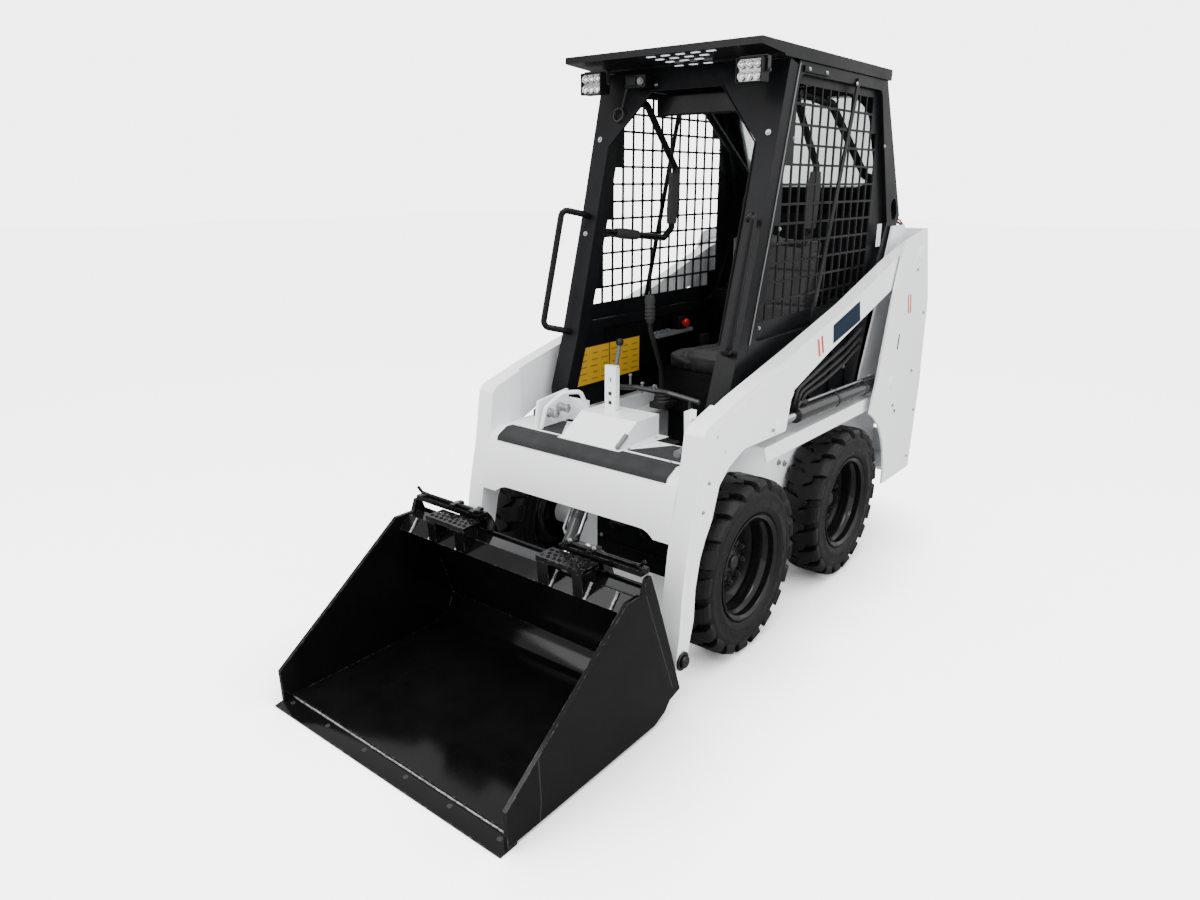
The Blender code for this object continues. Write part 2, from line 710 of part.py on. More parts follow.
def make_cross_member(white):
    """Bent plate between the legs, with the tilt cylinder's cover and ears, a post and a lug."""
    half = LEG_INNER_Y - SEAT_GAP
    path = [(0.492, 0.470), (0.470, 0.600), (0.452, 0.645), (0.410, 0.668), (0.235, 0.668), (0.235, 0.600)]
    plate = prism(bent(path, 0.010), -half, half)
    arch = rounded(
        [(-0.335, 0.36), (-0.335, 0.492), (0.335, 0.492), (0.335, 0.36)], {1: 0.07, 2: 0.07}, 6,
    )
    arch_cut = prism(arch, 0.40, 0.56, axis="X")
    cover = prism([(0.392, 0.662), (0.292, 0.733), (0.178, 0.733), (0.178, 0.662)], -0.107, 0.107)
    hollow = prism([(0.368, 0.560), (0.368, 0.662), (0.288, 0.721), (0.150, 0.721), (0.150, 0.560)],
                   -0.045, 0.045)
    bx, bz = TILT_BASE
    ear_outline = [(bx - 0.045, 0.645), (bx + 0.050, 0.645), (bx + 0.020, 0.715), (bx - 0.040, 0.7285)]
    ears = []
    for side in (1, -1):
        low, high = span(side, TILT_EYE_HALF + EAR_GAP, 0.060)
        ears.append(prism(ear_outline, low, high))
    pin_half = TILT_EYE_HALF + EAR_GAP + 0.009
    pin = rod(spread(TILT_BASE, -pin_half), spread(TILT_BASE, pin_half), 0.012)
    post = box((0.222, -0.066, 0.725), (0.230, -0.022, 0.880))
    lug = prism([(0.372, 0.6665), (0.400, 0.6665), (0.410, 0.835), (0.372, 0.835)], 0.355, 0.3714)
    centre = make("cross_member", white, plate, [cover, post, lug], [arch_cut, hollow])
    combine(centre, [*ears, pin], "UNION")
    return centre


def make_coupler_block(white):
    """Upright plate on the right of the cross member that carries the hose couplers."""
    low, high = -0.245, -0.235
    outline = [(0.205, 0.6684), (0.378, 0.6684), (0.360, 0.760), (0.215, 0.775)]
    plate = prism(outline, low, high)
    back = box((0.205, -0.2355, 0.6684), (0.213, -0.150, 0.745))
    return make("coupler_block", white, plate, [back])


def along(base, tip, distance):
    """The point a distance from base towards tip, both (x, z)."""
    line = (Vector(tip) - Vector(base)).normalized()
    return tuple(Vector(base) + line * distance)


def make_cylinder(name, base, eye, y, sizes, black, chrome):
    """Barrel with a bore, and the rod that slides in it. The rod's eye is left open."""
    start = spread(along(base, eye, 0.014), y)
    mouth = spread(along(base, eye, sizes["barrel"]), y)
    barrel = rod(start, mouth, sizes["outer"])
    boss = rod(spread(base, y - sizes["half"]), spread(base, y + sizes["half"]), sizes["boss"])
    gland = rod(spread(along(base, eye, sizes["barrel"] - 0.035), y), spread(along(base, eye, sizes["barrel"] + 0.001), y),
                sizes["outer"] + 0.0015)
    bore_start = spread(along(base, eye, sizes["boss"] + 0.010), y)
    bore_end = spread(along(base, eye, sizes["barrel"] + 0.02), y)
    bore = rod(bore_start, bore_end, sizes["rod"] + PIN_GAP)
    pin_hole = rod(spread(base, y - 0.1), spread(base, y + 0.1), sizes["pin"] + PIN_GAP)
    barrel = make(f"{name}_barrel", black, barrel, [boss, gland], [bore, pin_hole])
    distance = (Vector(eye) - Vector(base)).length
    inner = spread(along(base, eye, distance - sizes["length"]), y)
    tip = spread(along(base, eye, distance - 0.010), y)
    shaft = rod(inner, tip, sizes["rod"])
    eye_boss = rod(spread(eye, y - sizes["eye_half"]), spread(eye, y + sizes["eye_half"]), sizes["eye"])
    slider = make(f"{name}_rod", chrome, shaft, [eye_boss])
    holder = pivot(f"{name}_pivot", spread(base, y))
    hang(holder, [barrel, slider])
    return barrel, slider


def make_lift_cylinders(black, chrome):
    sizes = {
        "barrel": LIFT_BARREL_LENGTH, "outer": LIFT_BARREL_RADIUS, "rod": LIFT_ROD_RADIUS, "boss": 0.030,
        "half": 0.024, "pin": PIN_RADIUS, "length": LIFT_ROD_LENGTH, "eye": LIFT_EYE_RADIUS,
        "eye_half": LIFT_EYE_HALF,
    }
    for side in (1, -1):
        make_cylinder(f"{side_name(side)}_lift", LIFT_BASE, LIFT_EYE, side * LIFT_Y, sizes, black, chrome)


def make_tilt_cylinder(black, chrome):
    sizes = {
        "barrel": TILT_BARREL_LENGTH, "outer": TILT_BARREL_RADIUS, "rod": TILT_ROD_RADIUS, "boss": 0.023,
        "half": TILT_EYE_HALF, "pin": 0.012, "length": TILT_ROD_LENGTH, "eye": TILT_EYE_RADIUS,
        "eye_half": TILT_EYE_HALF,
    }
    make_cylinder("tilt", TILT_BASE, TILT_EYE, 0.0, sizes, black, chrome)


def coupler_face(z, offset=0.0):
    """X of the coupler's front face, which lies on the bucket's leaning back."""
    lean = (BACK_HIGH[0] - BACK_LOW[0]) / (BACK_HIGH[1] - BACK_LOW[1])
    return BACK_LOW[0] + lean * (z - BACK_LOW[1]) - 2 * SEAT_GAP + offset


def make_quick_attach(black):
    """Coupler frame: leaning face plate, side ears with the boom's pins, and ears for the tilt rod."""
    low_z, high_z = 0.104, 0.393
    half = 0.345
    face = prism(
        [(coupler_face(low_z), low_z), (coupler_face(high_z), high_z), (coupler_face(high_z, -0.014), high_z),
         (coupler_face(low_z, -0.014), low_z)],
        -half, half,
    )
    window = box((0.40, -0.20, 0.150), (0.80, -0.060, 0.330))
    window_left = box((0.40, 0.060, 0.150), (0.80, 0.20, 0.330))
    hx, hz = COUPLER_PIVOT
    joined = []
    for side in (1, -1):
        low, high = span(side, 0.332, 0.350)
        ear = [
            *arc((hx, hz), 0.034, 120, 290, 6), (coupler_face(0.110, -0.004), 0.110),
            (coupler_face(0.385, -0.004), 0.385), (coupler_face(0.385, -0.050), 0.385),
        ]
        joined.append(prism(ear, low, high))
        joined.append(rod(spread(COUPLER_PIVOT, side * 0.340), spread(COUPLER_PIVOT, side * 0.447),
                          COUPLER_PIN_RADIUS))
        low, high = span(side, TILT_EYE_HALF + EAR_GAP, TILT_EYE_HALF + EAR_GAP + EAR_PLATE)
        tx, tz = TILT_EYE
        tilt_ear = [
            *arc((tx, tz), 0.030, 100, 260, 6), (coupler_face(0.150, -0.006), 0.150),
            (coupler_face(0.380, -0.006), 0.380),
        ]
        joined.append(prism(tilt_ear, low, high))
    return make("quick_attach", black, face, joined, [window, window_left])


def make_lock_lever(side, black):
    """Latch box on the coupler's top, with a flat handle that reaches outwards over the bucket's edge."""
    outline = [
        (0.625, 0.3936), (0.6652, 0.3936), (0.6760, 0.4440), (0.6840, 0.4760), (0.7160, 0.4780),
        (0.7160, 0.4920), (0.6720, 0.4900), (0.6550, 0.4700), (0.6400, 0.4400),
    ]
    low, high = span(side, 0.165, 0.285)
    body = prism(outline, low, high)
    low, high = span(side, 0.160, 0.440)
    handle = prism([(0.682, 0.477), (0.717, 0.477), (0.717, 0.493), (0.682, 0.493)], low, high)
    return make(f"{side_name(side)}_lock_lever", black, body, [handle])


def make_step(side, black):
    """Small step on two feet that stands on the bucket's top lip."""
    low, high = span(side, 0.143, 0.307)
    tread = box((0.724, low, 0.466), (0.793, high, 0.481))
    foot_outline = [(0.7875, 0.3990), (0.7925, 0.4700), (0.7300, 0.4700), (0.7380, 0.4366), (0.7533, 0.4366)]
    feet = []
    for near, far in ((0.145, 0.186), (0.270, 0.305)):
        low, high = span(side, near, far)
        feet.append(prism(foot_outline, low, high))
    return make(f"{side_name(side)}_step", black, tread, feet)


def bucket_side_outline():
    return [
        (1.236, 0.010), (1.238, 0.107), (1.030, 0.263), (0.797, 0.440), (0.730, 0.440), (0.716, 0.476),
        (0.697, 0.478), (0.664, 0.397),
        (0.590, 0.198), (0.544, 0.069), (0.594, 0.056), (0.617, 0.030), (0.665, 0.012), (1.205, 0.0085),
    ]


def make_bucket(black):
    """Folded shell between two side plates."""
    inner = BUCKET_HALF - BUCKET_SIDE_PLATE + 0.002
    path = [
        (1.205, 0.009), (0.690, 0.010), (0.640, 0.020), (0.600, 0.050), BACK_LOW, BACK_HIGH,
        (0.684, 0.436), (0.752, 0.436), (0.785, 0.397),
    ]
    shell = prism(bent(path, -BUCKET_PLATE), -inner, inner)
    sides = []
    for side in (1, -1):
        low, high = span(side, BUCKET_HALF - BUCKET_SIDE_PLATE, BUCKET_HALF)
        sides.append(prism(bucket_side_outline(), low, high))
    return shell, sides


def make_bucket_shell(black):
    shell, sides = make_bucket(black)
    return make("bucket_shell", black, shell, sides)


def make_cutting_edge(black):
    outline = [
        (EDGE_FRONT_X, 0.0), (EDGE_FRONT_X - EDGE_DEPTH, 0.0), (EDGE_FRONT_X - EDGE_DEPTH, 0.0082),
        (EDGE_FRONT_X - EDGE_DEPTH + 0.03, 0.0082), (EDGE_FRONT_X, 0.004),
    ]
    return make("cutting_edge", black, prism(outline, -BUCKET_HALF, BUCKET_HALF))


def make_wheel(end, axle_x, side, rubber, black):
    """Tyre and rim, turned about the axle."""
    half = TYRE_WIDTH / 2
    middle = side * TYRE_MID_Y
    bead_half = half - 0.0145
    bead = RIM_BARREL_RADIUS + 0.0006
    tyre_profile = [
        (bead, -bead_half), (RIM_RADIUS + 0.004, -bead_half), (0.200, -half), (0.262, -half),
        (TYRE_RADIUS - 0.004, -half + 0.014), (TYRE_RADIUS, -half + 0.026), (TYRE_RADIUS, half - 0.026),
        (TYRE_RADIUS - 0.004, half - 0.014), (0.262, half), (0.200, half), (RIM_RADIUS + 0.004, bead_half),
        (bead, bead_half),
    ]
    name = f"{end}_{side_name(side)}"
    place = (axle_x, AXLE_Z)
    tyre = turned([(r, middle + y) for r, y in tyre_profile], place, WHEEL_SIDES)
    tyre = make(f"{name}_tyre", rubber, tyre)
    flange = bead_half + 0.0006
    hub_back = AXLE_END_Y + PIN_GAP - TYRE_MID_Y
    rim_profile = [
        (0.0, hub_back), (0.045, hub_back), (0.045, 0.0), (0.135, 0.0), (0.150, -flange - 0.004),
        (RIM_RADIUS, -flange - 0.004), (RIM_RADIUS, -flange), (RIM_BARREL_RADIUS, -flange),
        (RIM_BARREL_RADIUS, flange), (RIM_RADIUS, flange), (RIM_RADIUS, flange + 0.004),
        (0.150, flange + 0.004), (0.135, 0.012), (0.0, 0.012),
    ]
    rim = turned([(r, middle + side * y) for r, y in rim_profile], place, WHEEL_SIDES)
    rim = make(f"{name}_rim", black, rim)
    holder = pivot(f"{name}_axle", (axle_x, middle, AXLE_Z))
    hang(holder, [tyre, rim])


def main():
    clear_scene()
    white = paint("white_paint", (0.83, 0.85, 0.87), 0.25)
    black = paint("cab_black", (0.025, 0.026, 0.028), 0.45)
    gloss = paint("gloss_black", (0.012, 0.012, 0.013), 0.18)
    rubber = paint("tyre_rubber", (0.03, 0.03, 0.03), 0.80)
    metal = paint("engine_metal", (0.20, 0.20, 0.21), 0.55, 0.6)
    chrome = paint("chrome_rod", (0.80, 0.80, 0.82), 0.12, 1.0)
    glass = paint("tinted_glass", (0.62, 0.72, 0.70), 0.05, 0.0, 0.35)
    vinyl = paint("seat_vinyl", (0.02, 0.02, 0.022), 0.55)
    lamp = paint("lamp_lens", (0.75, 0.77, 0.80), 0.15)

    make_lower_frame(white)
    make_rear_bumper(white)
    make_engine_block(metal)
    make_hood(white)
    make_rear_door(white)
    make_cab_front(black)
    make_roof(black)
    make_rear_wall(black)
    make_rear_window(glass)
    make_cab_floor(black)
    make_seat(vinyl)
    make_seat_bar(black)
    make_cross_member(white)
    make_coupler_block(white)
    make_lift_cylinders(black, chrome)
    make_tilt_cylinder(black, chrome)
    make_quick_attach(gloss)
    make_bucket_shell(gloss)
    make_cutting_edge(gloss)
    for side in (1, -1):
        make_fender(side, white)
        make_upright(side, white)
        make_cab_side(side, black)
        make_screen(side, black)
        make_work_light(side, lamp)
        make_grab_handle(side, black)
        make_hand_rail(side, black)
        make_arm(side, white)
        make_lock_lever(side, gloss)
        make_step(side, gloss)
        make_wheel("front", FRONT_AXLE_X, side, rubber, gloss)
        make_wheel("rear", REAR_AXLE_X, side, rubber, gloss)


main()
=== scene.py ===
# Small skid steer loader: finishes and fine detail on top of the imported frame.
import json
import math
import random

import bmesh
import bpy
from mathutils import Matrix, Vector


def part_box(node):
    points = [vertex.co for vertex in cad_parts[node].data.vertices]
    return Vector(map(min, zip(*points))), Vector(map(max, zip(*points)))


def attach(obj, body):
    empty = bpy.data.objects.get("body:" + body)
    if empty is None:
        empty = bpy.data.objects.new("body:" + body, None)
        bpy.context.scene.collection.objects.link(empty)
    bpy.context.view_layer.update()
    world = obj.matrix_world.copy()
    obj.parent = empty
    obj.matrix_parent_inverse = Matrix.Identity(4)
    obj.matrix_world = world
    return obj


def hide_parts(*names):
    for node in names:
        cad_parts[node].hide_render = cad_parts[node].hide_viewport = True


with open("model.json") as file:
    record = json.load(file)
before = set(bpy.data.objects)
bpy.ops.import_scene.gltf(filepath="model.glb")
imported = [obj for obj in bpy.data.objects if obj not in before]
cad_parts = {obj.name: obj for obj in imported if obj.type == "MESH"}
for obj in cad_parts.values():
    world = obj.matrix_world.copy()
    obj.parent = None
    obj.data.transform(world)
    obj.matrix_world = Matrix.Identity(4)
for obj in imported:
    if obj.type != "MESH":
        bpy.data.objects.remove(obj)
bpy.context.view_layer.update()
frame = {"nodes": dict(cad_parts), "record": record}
random.seed(7)
print("frame loaded")


# studio: camera, lights and floor
studio = {
    "camera": (2.2966, 1.5736, 1.4376),
    "yaw": 218.764,
    "pitch": -17.708,
    "lens": 25.22,
    "floor": (0.93, 0.93, 0.93),
    "sky": 1.40,
    "backdrop": 6.0,
    "floorGlow": 3.2,
    # reach and depth of the painted contact shadow on the floor
    "paintedShadowReach": 0.40,
    "paintedShadowDepth": 2.2,
    "floorMirror": (0.22, 0.22, 0.22),
    # name, place, target, size, power
    "lights": (("topBox", (0.6, 0.4, 4.4), (0, 0, 0), (4.2, 3.2), 200),
               ("frontBox", (3.8, -1.6, 2.6), (0, 0, 0.8), (2.2, 2.2), 80),
               ("sideBox", (-0.6, 4.2, 2.2), (0, 0, 0.8), (3.4, 1.6), 80)),
}


def makeCamera():
    data = bpy.data.cameras.new("mainCamera")
    data.lens = studio["lens"]
    data.sensor_width = 36.0
    data.sensor_fit = "HORIZONTAL"
    camera = bpy.data.objects.new("mainCamera", data)
    bpy.context.scene.collection.objects.link(camera)
    yaw, pitch = math.radians(studio["yaw"]), math.radians(studio["pitch"])
    forward = Vector((math.cos(yaw) * math.cos(pitch), math.sin(yaw) * math.cos(pitch), math.sin(pitch)))
    camera.location = studio["camera"]
    camera.rotation_mode = "QUATERNION"
    camera.rotation_quaternion = forward.to_track_quat("-Z", "Y")
    bpy.context.scene.camera = camera


def makeLight(name, place, target, size, power):
    data = bpy.data.lights.new(name, "AREA")
    data.shape = "RECTANGLE"
    data.size, data.size_y = size
    data.energy = power
    light = bpy.data.objects.new(name, data)
    bpy.context.scene.collection.objects.link(light)
    light.location = place
    light.rotation_mode = "QUATERNION"
    light.rotation_quaternion = (Vector(target) - Vector(place)).to_track_quat("-Z", "Y")


def makeStudio():
    world = bpy.data.worlds.new("studioSky")
    bpy.context.scene.world = world
    world.use_nodes = True
    tree = world.node_tree
    background = tree.nodes["Background"]
    background.inputs["Color"].default_value = (1.0, 1.0, 1.0, 1.0)
    background.inputs["Strength"].default_value = studio["sky"]
    seen = tree.nodes.new("ShaderNodeBackground")
    seen.inputs["Strength"].default_value = studio["backdrop"]
    path = tree.nodes.new("ShaderNodeLightPath")
    blend = tree.nodes.new("ShaderNodeMixShader")
    tree.links.new(path.outputs["Is Camera Ray"], blend.inputs[0])
    tree.links.new(background.outputs[0], blend.inputs[1])
    tree.links.new(seen.outputs[0], blend.inputs[2])
    tree.links.new(blend.outputs[0], tree.nodes["World Output"].inputs[0])
    for light in studio["lights"]:
        makeLight(*light)
    bm = bmesh.new()
    bmesh.ops.create_grid(bm, x_segments=1, y_segments=1, size=30)
    mesh = bpy.data.meshes.new("studioFloor")
    bm.to_mesh(mesh)
    bm.free()
    floor = bpy.data.objects.new("studioFloor", mesh)
    bpy.context.scene.collection.objects.link(floor)
    floorPaint = bpy.data.materials.new("studioFloor")
    floorPaint.use_nodes = True
    tree = floorPaint.node_tree
    shader = tree.nodes["Principled BSDF"]
    shader.inputs["Roughness"].default_value = 0.9
    shader.inputs["Emission Color"].default_value = (1.0, 1.0, 1.0, 1.0)
    path = tree.nodes.new("ShaderNodeLightPath")
    shade = tree.nodes.new("ShaderNodeMix")
    shade.data_type = "RGBA"
    shade.inputs[6].default_value = (*studio["floor"], 1.0)
    shade.inputs[7].default_value = (*studio["floorMirror"], 1.0)
    tree.links.new(path.outputs["Is Glossy Ray"], shade.inputs["Factor"])
    tree.links.new(shade.outputs[2], shader.inputs["Base Color"])
    glow = tree.nodes.new("ShaderNodeMath")
    glow.operation = "MULTIPLY"
    glow.inputs[1].default_value = studio["floorGlow"]
    tree.links.new(path.outputs["Is Camera Ray"], glow.inputs[0])
    paintedShadow = tree.nodes.new("ShaderNodeAmbientOcclusion")   # painted contact shadow: the floor's glow darkened by ambient occlusion under tyres and bucket
    paintedShadow.samples = 8
    paintedShadow.inputs["Distance"].default_value = studio["paintedShadowReach"]
    shadeFoot = tree.nodes.new("ShaderNodeMath")
    shadeFoot.operation = "MULTIPLY"
    tree.links.new(glow.outputs[0], shadeFoot.inputs[0])
    deepen = tree.nodes.new("ShaderNodeMath")
    deepen.operation = "POWER"
    deepen.inputs[1].default_value = studio["paintedShadowDepth"]
    tree.links.new(paintedShadow.outputs["AO"], deepen.inputs[0])
    tree.links.new(deepen.outputs[0], shadeFoot.inputs[1])
    tree.links.new(shadeFoot.outputs[0], shader.inputs["Emission Strength"])
    mesh.materials.append(floorPaint)


makeCamera()
makeStudio()
print("studio ready")


# shared effects, each one a node group
def newGroup(name, inputs, outputs):
    group = bpy.data.node_groups.new(name, "ShaderNodeTree")
    for title, kind, value in inputs:
        socket = group.interface.new_socket(name=title, in_out="INPUT", socket_type=kind)
        if value is not None:
            socket.default_value = value
    for title, kind in outputs:
        group.interface.new_socket(name=title, in_out="OUTPUT", socket_type=kind)
    entry = group.nodes.new("NodeGroupInput")
    leave = group.nodes.new("NodeGroupOutput")
    return group, entry, leave


def addNode(tree, kind, settings=None, values=None):
    node = tree.nodes.new(kind)
    for key, value in (settings or {}).items():
        setattr(node, key, value)
    for key, value in (values or {}).items():
        node.inputs[key].default_value = value
    return node


def mathNode(tree, operation, first, second=None, clamp=False):
    node = addNode(tree, "ShaderNodeMath", {"operation": operation, "use_clamp": clamp})
    for index, value in enumerate((first, second)):
        if value is None:
            continue
        if isinstance(value, (int, float)):
            node.inputs[index].default_value = value
        else:
            tree.links.new(value, node.inputs[index])
    return node.outputs[0]


def mixColors(tree, factor, first, second):
    node = addNode(tree, "ShaderNodeMix", {"data_type": "RGBA"})
    for socket, value in ((node.inputs["Factor"], factor), (node.inputs[6], first), (node.inputs[7], second)):
        if isinstance(value, tuple):
            socket.default_value = (*value, 1.0) if len(value) == 3 else value
        elif isinstance(value, (int, float)):
            socket.default_value = value
        else:
            tree.links.new(value, socket)
    return node.outputs[2]


def makeGrainGroup():
    # fine grain for bump and broad clouds for colour and gloss
    group, entry, leave = newGroup(
        "surfaceGrain",
        [("Fine Scale", "NodeSocketFloat", 900.0), ("Cloud Scale", "NodeSocketFloat", 6.0)],
        [("Height", "NodeSocketFloat"), ("Clouds", "NodeSocketFloat")],
    )
    where = addNode(group, "ShaderNodeTexCoord")
    fine = addNode(group, "ShaderNodeTexNoise", values={"Detail": 3.0, "Roughness": 0.6})
    clouds = addNode(group, "ShaderNodeTexNoise", values={"Detail": 5.0, "Roughness": 0.62})
    for node, title in ((fine, "Fine Scale"), (clouds, "Cloud Scale")):
        group.links.new(where.outputs["Object"], node.inputs["Vector"])
        group.links.new(entry.outputs[title], node.inputs["Scale"])
    group.links.new(fine.outputs["Fac"], leave.inputs["Height"])
    spread = addNode(group, "ShaderNodeMapRange", values={"From Min": 0.32, "From Max": 0.68})
    group.links.new(clouds.outputs["Fac"], spread.inputs["Value"])
    group.links.new(spread.outputs["Result"], leave.inputs["Clouds"])
    return group


def makeDustGroup():
    # dust that settles on faces that look up
    group, entry, leave = newGroup(
        "settledDust",
        [("Amount", "NodeSocketFloat", 0.5), ("Scale", "NodeSocketFloat", 14.0)],
        [("Mask", "NodeSocketFloat")],
    )
    shape = addNode(group, "ShaderNodeNewGeometry")
    split = addNode(group, "ShaderNodeSeparateXYZ")
    group.links.new(shape.outputs["Normal"], split.inputs[0])
    facing = addNode(group, "ShaderNodeMapRange", values={"From Min": 0.1, "From Max": 1.0})
    group.links.new(split.outputs["Z"], facing.inputs["Value"])
    where = addNode(group, "ShaderNodeTexCoord")
    patches = addNode(group, "ShaderNodeTexNoise", values={"Detail": 7.0, "Roughness": 0.7})
    group.links.new(where.outputs["Object"], patches.inputs["Vector"])
    group.links.new(entry.outputs["Scale"], patches.inputs["Scale"])
    spread = addNode(group, "ShaderNodeMapRange", values={"From Min": 0.4, "From Max": 0.75})
    group.links.new(patches.outputs["Fac"], spread.inputs["Value"])
    both = mathNode(group, "MULTIPLY", facing.outputs["Result"], spread.outputs["Result"])
    scaled = mathNode(group, "MULTIPLY", both, entry.outputs["Amount"], clamp=True)
    group.links.new(scaled, leave.inputs["Mask"])
    return group


def makeScratchGroup():
    # long thin scratches and short scuffs
    group, entry, leave = newGroup(
        "fineScratches",
        [("Scale", "NodeSocketFloat", 30.0), ("Density", "NodeSocketFloat", 0.5)],
        [("Mask", "NodeSocketFloat")],
    )
    where = addNode(group, "ShaderNodeTexCoord")
    masks = []
    for turn, stretch in ((0.4, (1.0, 14.0, 1.0)), (1.9, (12.0, 1.0, 2.0))):
        mapping = addNode(group, "ShaderNodeMapping")
        mapping.inputs["Rotation"].default_value = (0.3, 0.2, turn)
        mapping.inputs["Scale"].default_value = stretch
        group.links.new(where.outputs["Object"], mapping.inputs["Vector"])
        noise = addNode(group, "ShaderNodeTexNoise", values={"Detail": 4.0, "Roughness": 0.75})
        group.links.new(mapping.outputs["Vector"], noise.inputs["Vector"])
        group.links.new(entry.outputs["Scale"], noise.inputs["Scale"])
        edge = mathNode(group, "SUBTRACT", 0.80, mathNode(group, "MULTIPLY", entry.outputs["Density"], 0.2))
        masks.append(mathNode(group, "GREATER_THAN", noise.outputs["Fac"], edge))
    group.links.new(mathNode(group, "MAXIMUM", *masks), leave.inputs["Mask"])
    return group


def makeWearGroup():
    # bare metal along convex edges
    group, entry, leave = newGroup(
        "edgeWear",
        [("Amount", "NodeSocketFloat", 0.5), ("Scale", "NodeSocketFloat", 60.0)],
        [("Mask", "NodeSocketFloat")],
    )
    soft = addNode(group, "ShaderNodeBevel", {"samples": 4}, {"Radius": 0.004})
    shape = addNode(group, "ShaderNodeNewGeometry")
    dot = addNode(group, "ShaderNodeVectorMath", {"operation": "DOT_PRODUCT"})
    group.links.new(soft.outputs["Normal"], dot.inputs[0])
    group.links.new(shape.outputs["Normal"], dot.inputs[1])
    edge = mathNode(group, "SUBTRACT", 1.0, dot.outputs["Value"])
    where = addNode(group, "ShaderNodeTexCoord")
    noise = addNode(group, "ShaderNodeTexNoise", values={"Detail": 8.0, "Roughness": 0.75})
    group.links.new(where.outputs["Object"], noise.inputs["Vector"])
    group.links.new(entry.outputs["Scale"], noise.inputs["Scale"])
    spread = addNode(group, "ShaderNodeMapRange", values={"From Min": 0.5, "From Max": 0.62})
    group.links.new(noise.outputs["Fac"], spread.inputs["Value"])
    strong = mathNode(group, "MULTIPLY", edge, 12.0, clamp=True)
    both = mathNode(group, "MULTIPLY", strong, spread.outputs["Result"])
    group.links.new(mathNode(group, "MULTIPLY", both, entry.outputs["Amount"], clamp=True), leave.inputs["Mask"])
    return group


grainGroup = makeGrainGroup()
dustGroup = makeDustGroup()
scratchGroup = makeScratchGroup()
wearGroup = makeWearGroup()

finishes = {}


def useGroup(tree, group, values):
    node = tree.nodes.new("ShaderNodeGroup")
    node.node_tree = group
    for title, value in values.items():
        node.inputs[title].default_value = value
    return node


def makeFinish(name, slot, color, second, roughness, roughSpread=0.08, metallic=0.0, coat=0.0, fine=900.0,
               clouds=6.0, bump=0.05, dust=0.0, dustColor=(0.30, 0.28, 0.25), scratches=0.0, wear=0.0,
               wearColor=(0.55, 0.56, 0.58), specular=0.5, sheen=0.0, transmission=0.0, alpha=1.0, ior=1.45,
               glow=None, glowPower=0.25):
    # One finish: two close colours in clouds, grain bump, then dust, scratches and edge wear, and an optional painted
    # glow.
    material = bpy.data.materials.new(name)
    material.use_nodes = True
    tree = material.node_tree
    shader = tree.nodes["Principled BSDF"]
    grain = useGroup(tree, grainGroup, {"Fine Scale": fine, "Cloud Scale": clouds})
    tint = mixColors(tree, grain.outputs["Clouds"], color, second)
    low, high = max(0.02, roughness - roughSpread), min(1.0, roughness + roughSpread)
    rough = addNode(tree, "ShaderNodeMapRange", values={"To Min": low, "To Max": high})
    tree.links.new(grain.outputs["Clouds"], rough.inputs["Value"])
    roughOut = rough.outputs["Result"]
    if dust:
        layer = useGroup(tree, dustGroup, {"Amount": dust})
        tint = mixColors(tree, layer.outputs["Mask"], tint, dustColor)
        roughOut = mathNode(tree, "MAXIMUM", roughOut, mathNode(tree, "MULTIPLY", layer.outputs["Mask"], 0.8))
    if scratches:
        layer = useGroup(tree, scratchGroup, {"Density": scratches})
        lighter = tuple(min(1.0, c * 1.8 + 0.03) for c in color)
        tint = mixColors(tree, layer.outputs["Mask"], tint, lighter)
        roughOut = mathNode(tree, "ADD", roughOut, mathNode(tree, "MULTIPLY", layer.outputs["Mask"], 0.18), True)
    metal = None
    if wear:
        layer = useGroup(tree, wearGroup, {"Amount": wear})
        tint = mixColors(tree, layer.outputs["Mask"], tint, wearColor)
        metal = layer.outputs["Mask"]
    tree.links.new(tint, shader.inputs["Base Color"])
    tree.links.new(roughOut, shader.inputs["Roughness"])
    if metal is None:
        shader.inputs["Metallic"].default_value = metallic
    else:
        tree.links.new(metal, shader.inputs["Metallic"])
    relief = addNode(tree, "ShaderNodeBump", values={"Strength": bump, "Distance": 0.002})
    tree.links.new(grain.outputs["Height"], relief.inputs["Height"])
    tree.links.new(relief.outputs["Normal"], shader.inputs["Normal"])
    shader.inputs["Coat Weight"].default_value = coat
    shader.inputs["Specular IOR Level"].default_value = specular
    shader.inputs["Coat Roughness"].default_value = 0.08
    shader.inputs["Sheen Weight"].default_value = sheen
    shader.inputs["Transmission Weight"].default_value = transmission
    shader.inputs["Alpha"].default_value = alpha
    shader.inputs["IOR"].default_value = ior
    if glow:
        shader.inputs["Emission Color"].default_value = (*glow, 1.0)
        shader.inputs["Emission Strength"].default_value = glowPower
    finishes[name] = (material, slot)


makeFinish("bodyWhite", "white_paint", (0.915, 0.925, 0.94), (0.89, 0.905, 0.925), 0.22, 0.05, coat=0.35, fine=420.0,
           clouds=3.0, bump=0.035, dust=0.05, dustColor=(0.62, 0.62, 0.61))
makeFinish("cabBlack", "cab_black", (0.004, 0.0042, 0.0048), (0.006, 0.0062, 0.0072), 0.36, 0.07, coat=0.02,
           fine=700.0, bump=0.10, dust=0.05, dustColor=(0.035, 0.035, 0.035), specular=0.12)
makeFinish("bucketBlack", "bucket_black", (0.0022, 0.0022, 0.0025), (0.004, 0.004, 0.0043), 0.105, 0.045, coat=0.05,
           specular=0.17,
           fine=300.0, clouds=3.5, bump=0.04, dust=0.03, dustColor=(0.03, 0.03, 0.03), scratches=0.25,
           wear=0.22, wearColor=(0.42, 0.43, 0.45))
makeFinish("rimBlack", "rim_black", (0.004, 0.004, 0.0043), (0.006, 0.006, 0.0065), 0.18, 0.06, coat=0.25, fine=500.0,
           bump=0.05, dust=0.05, dustColor=(0.04, 0.04, 0.038), specular=0.30)
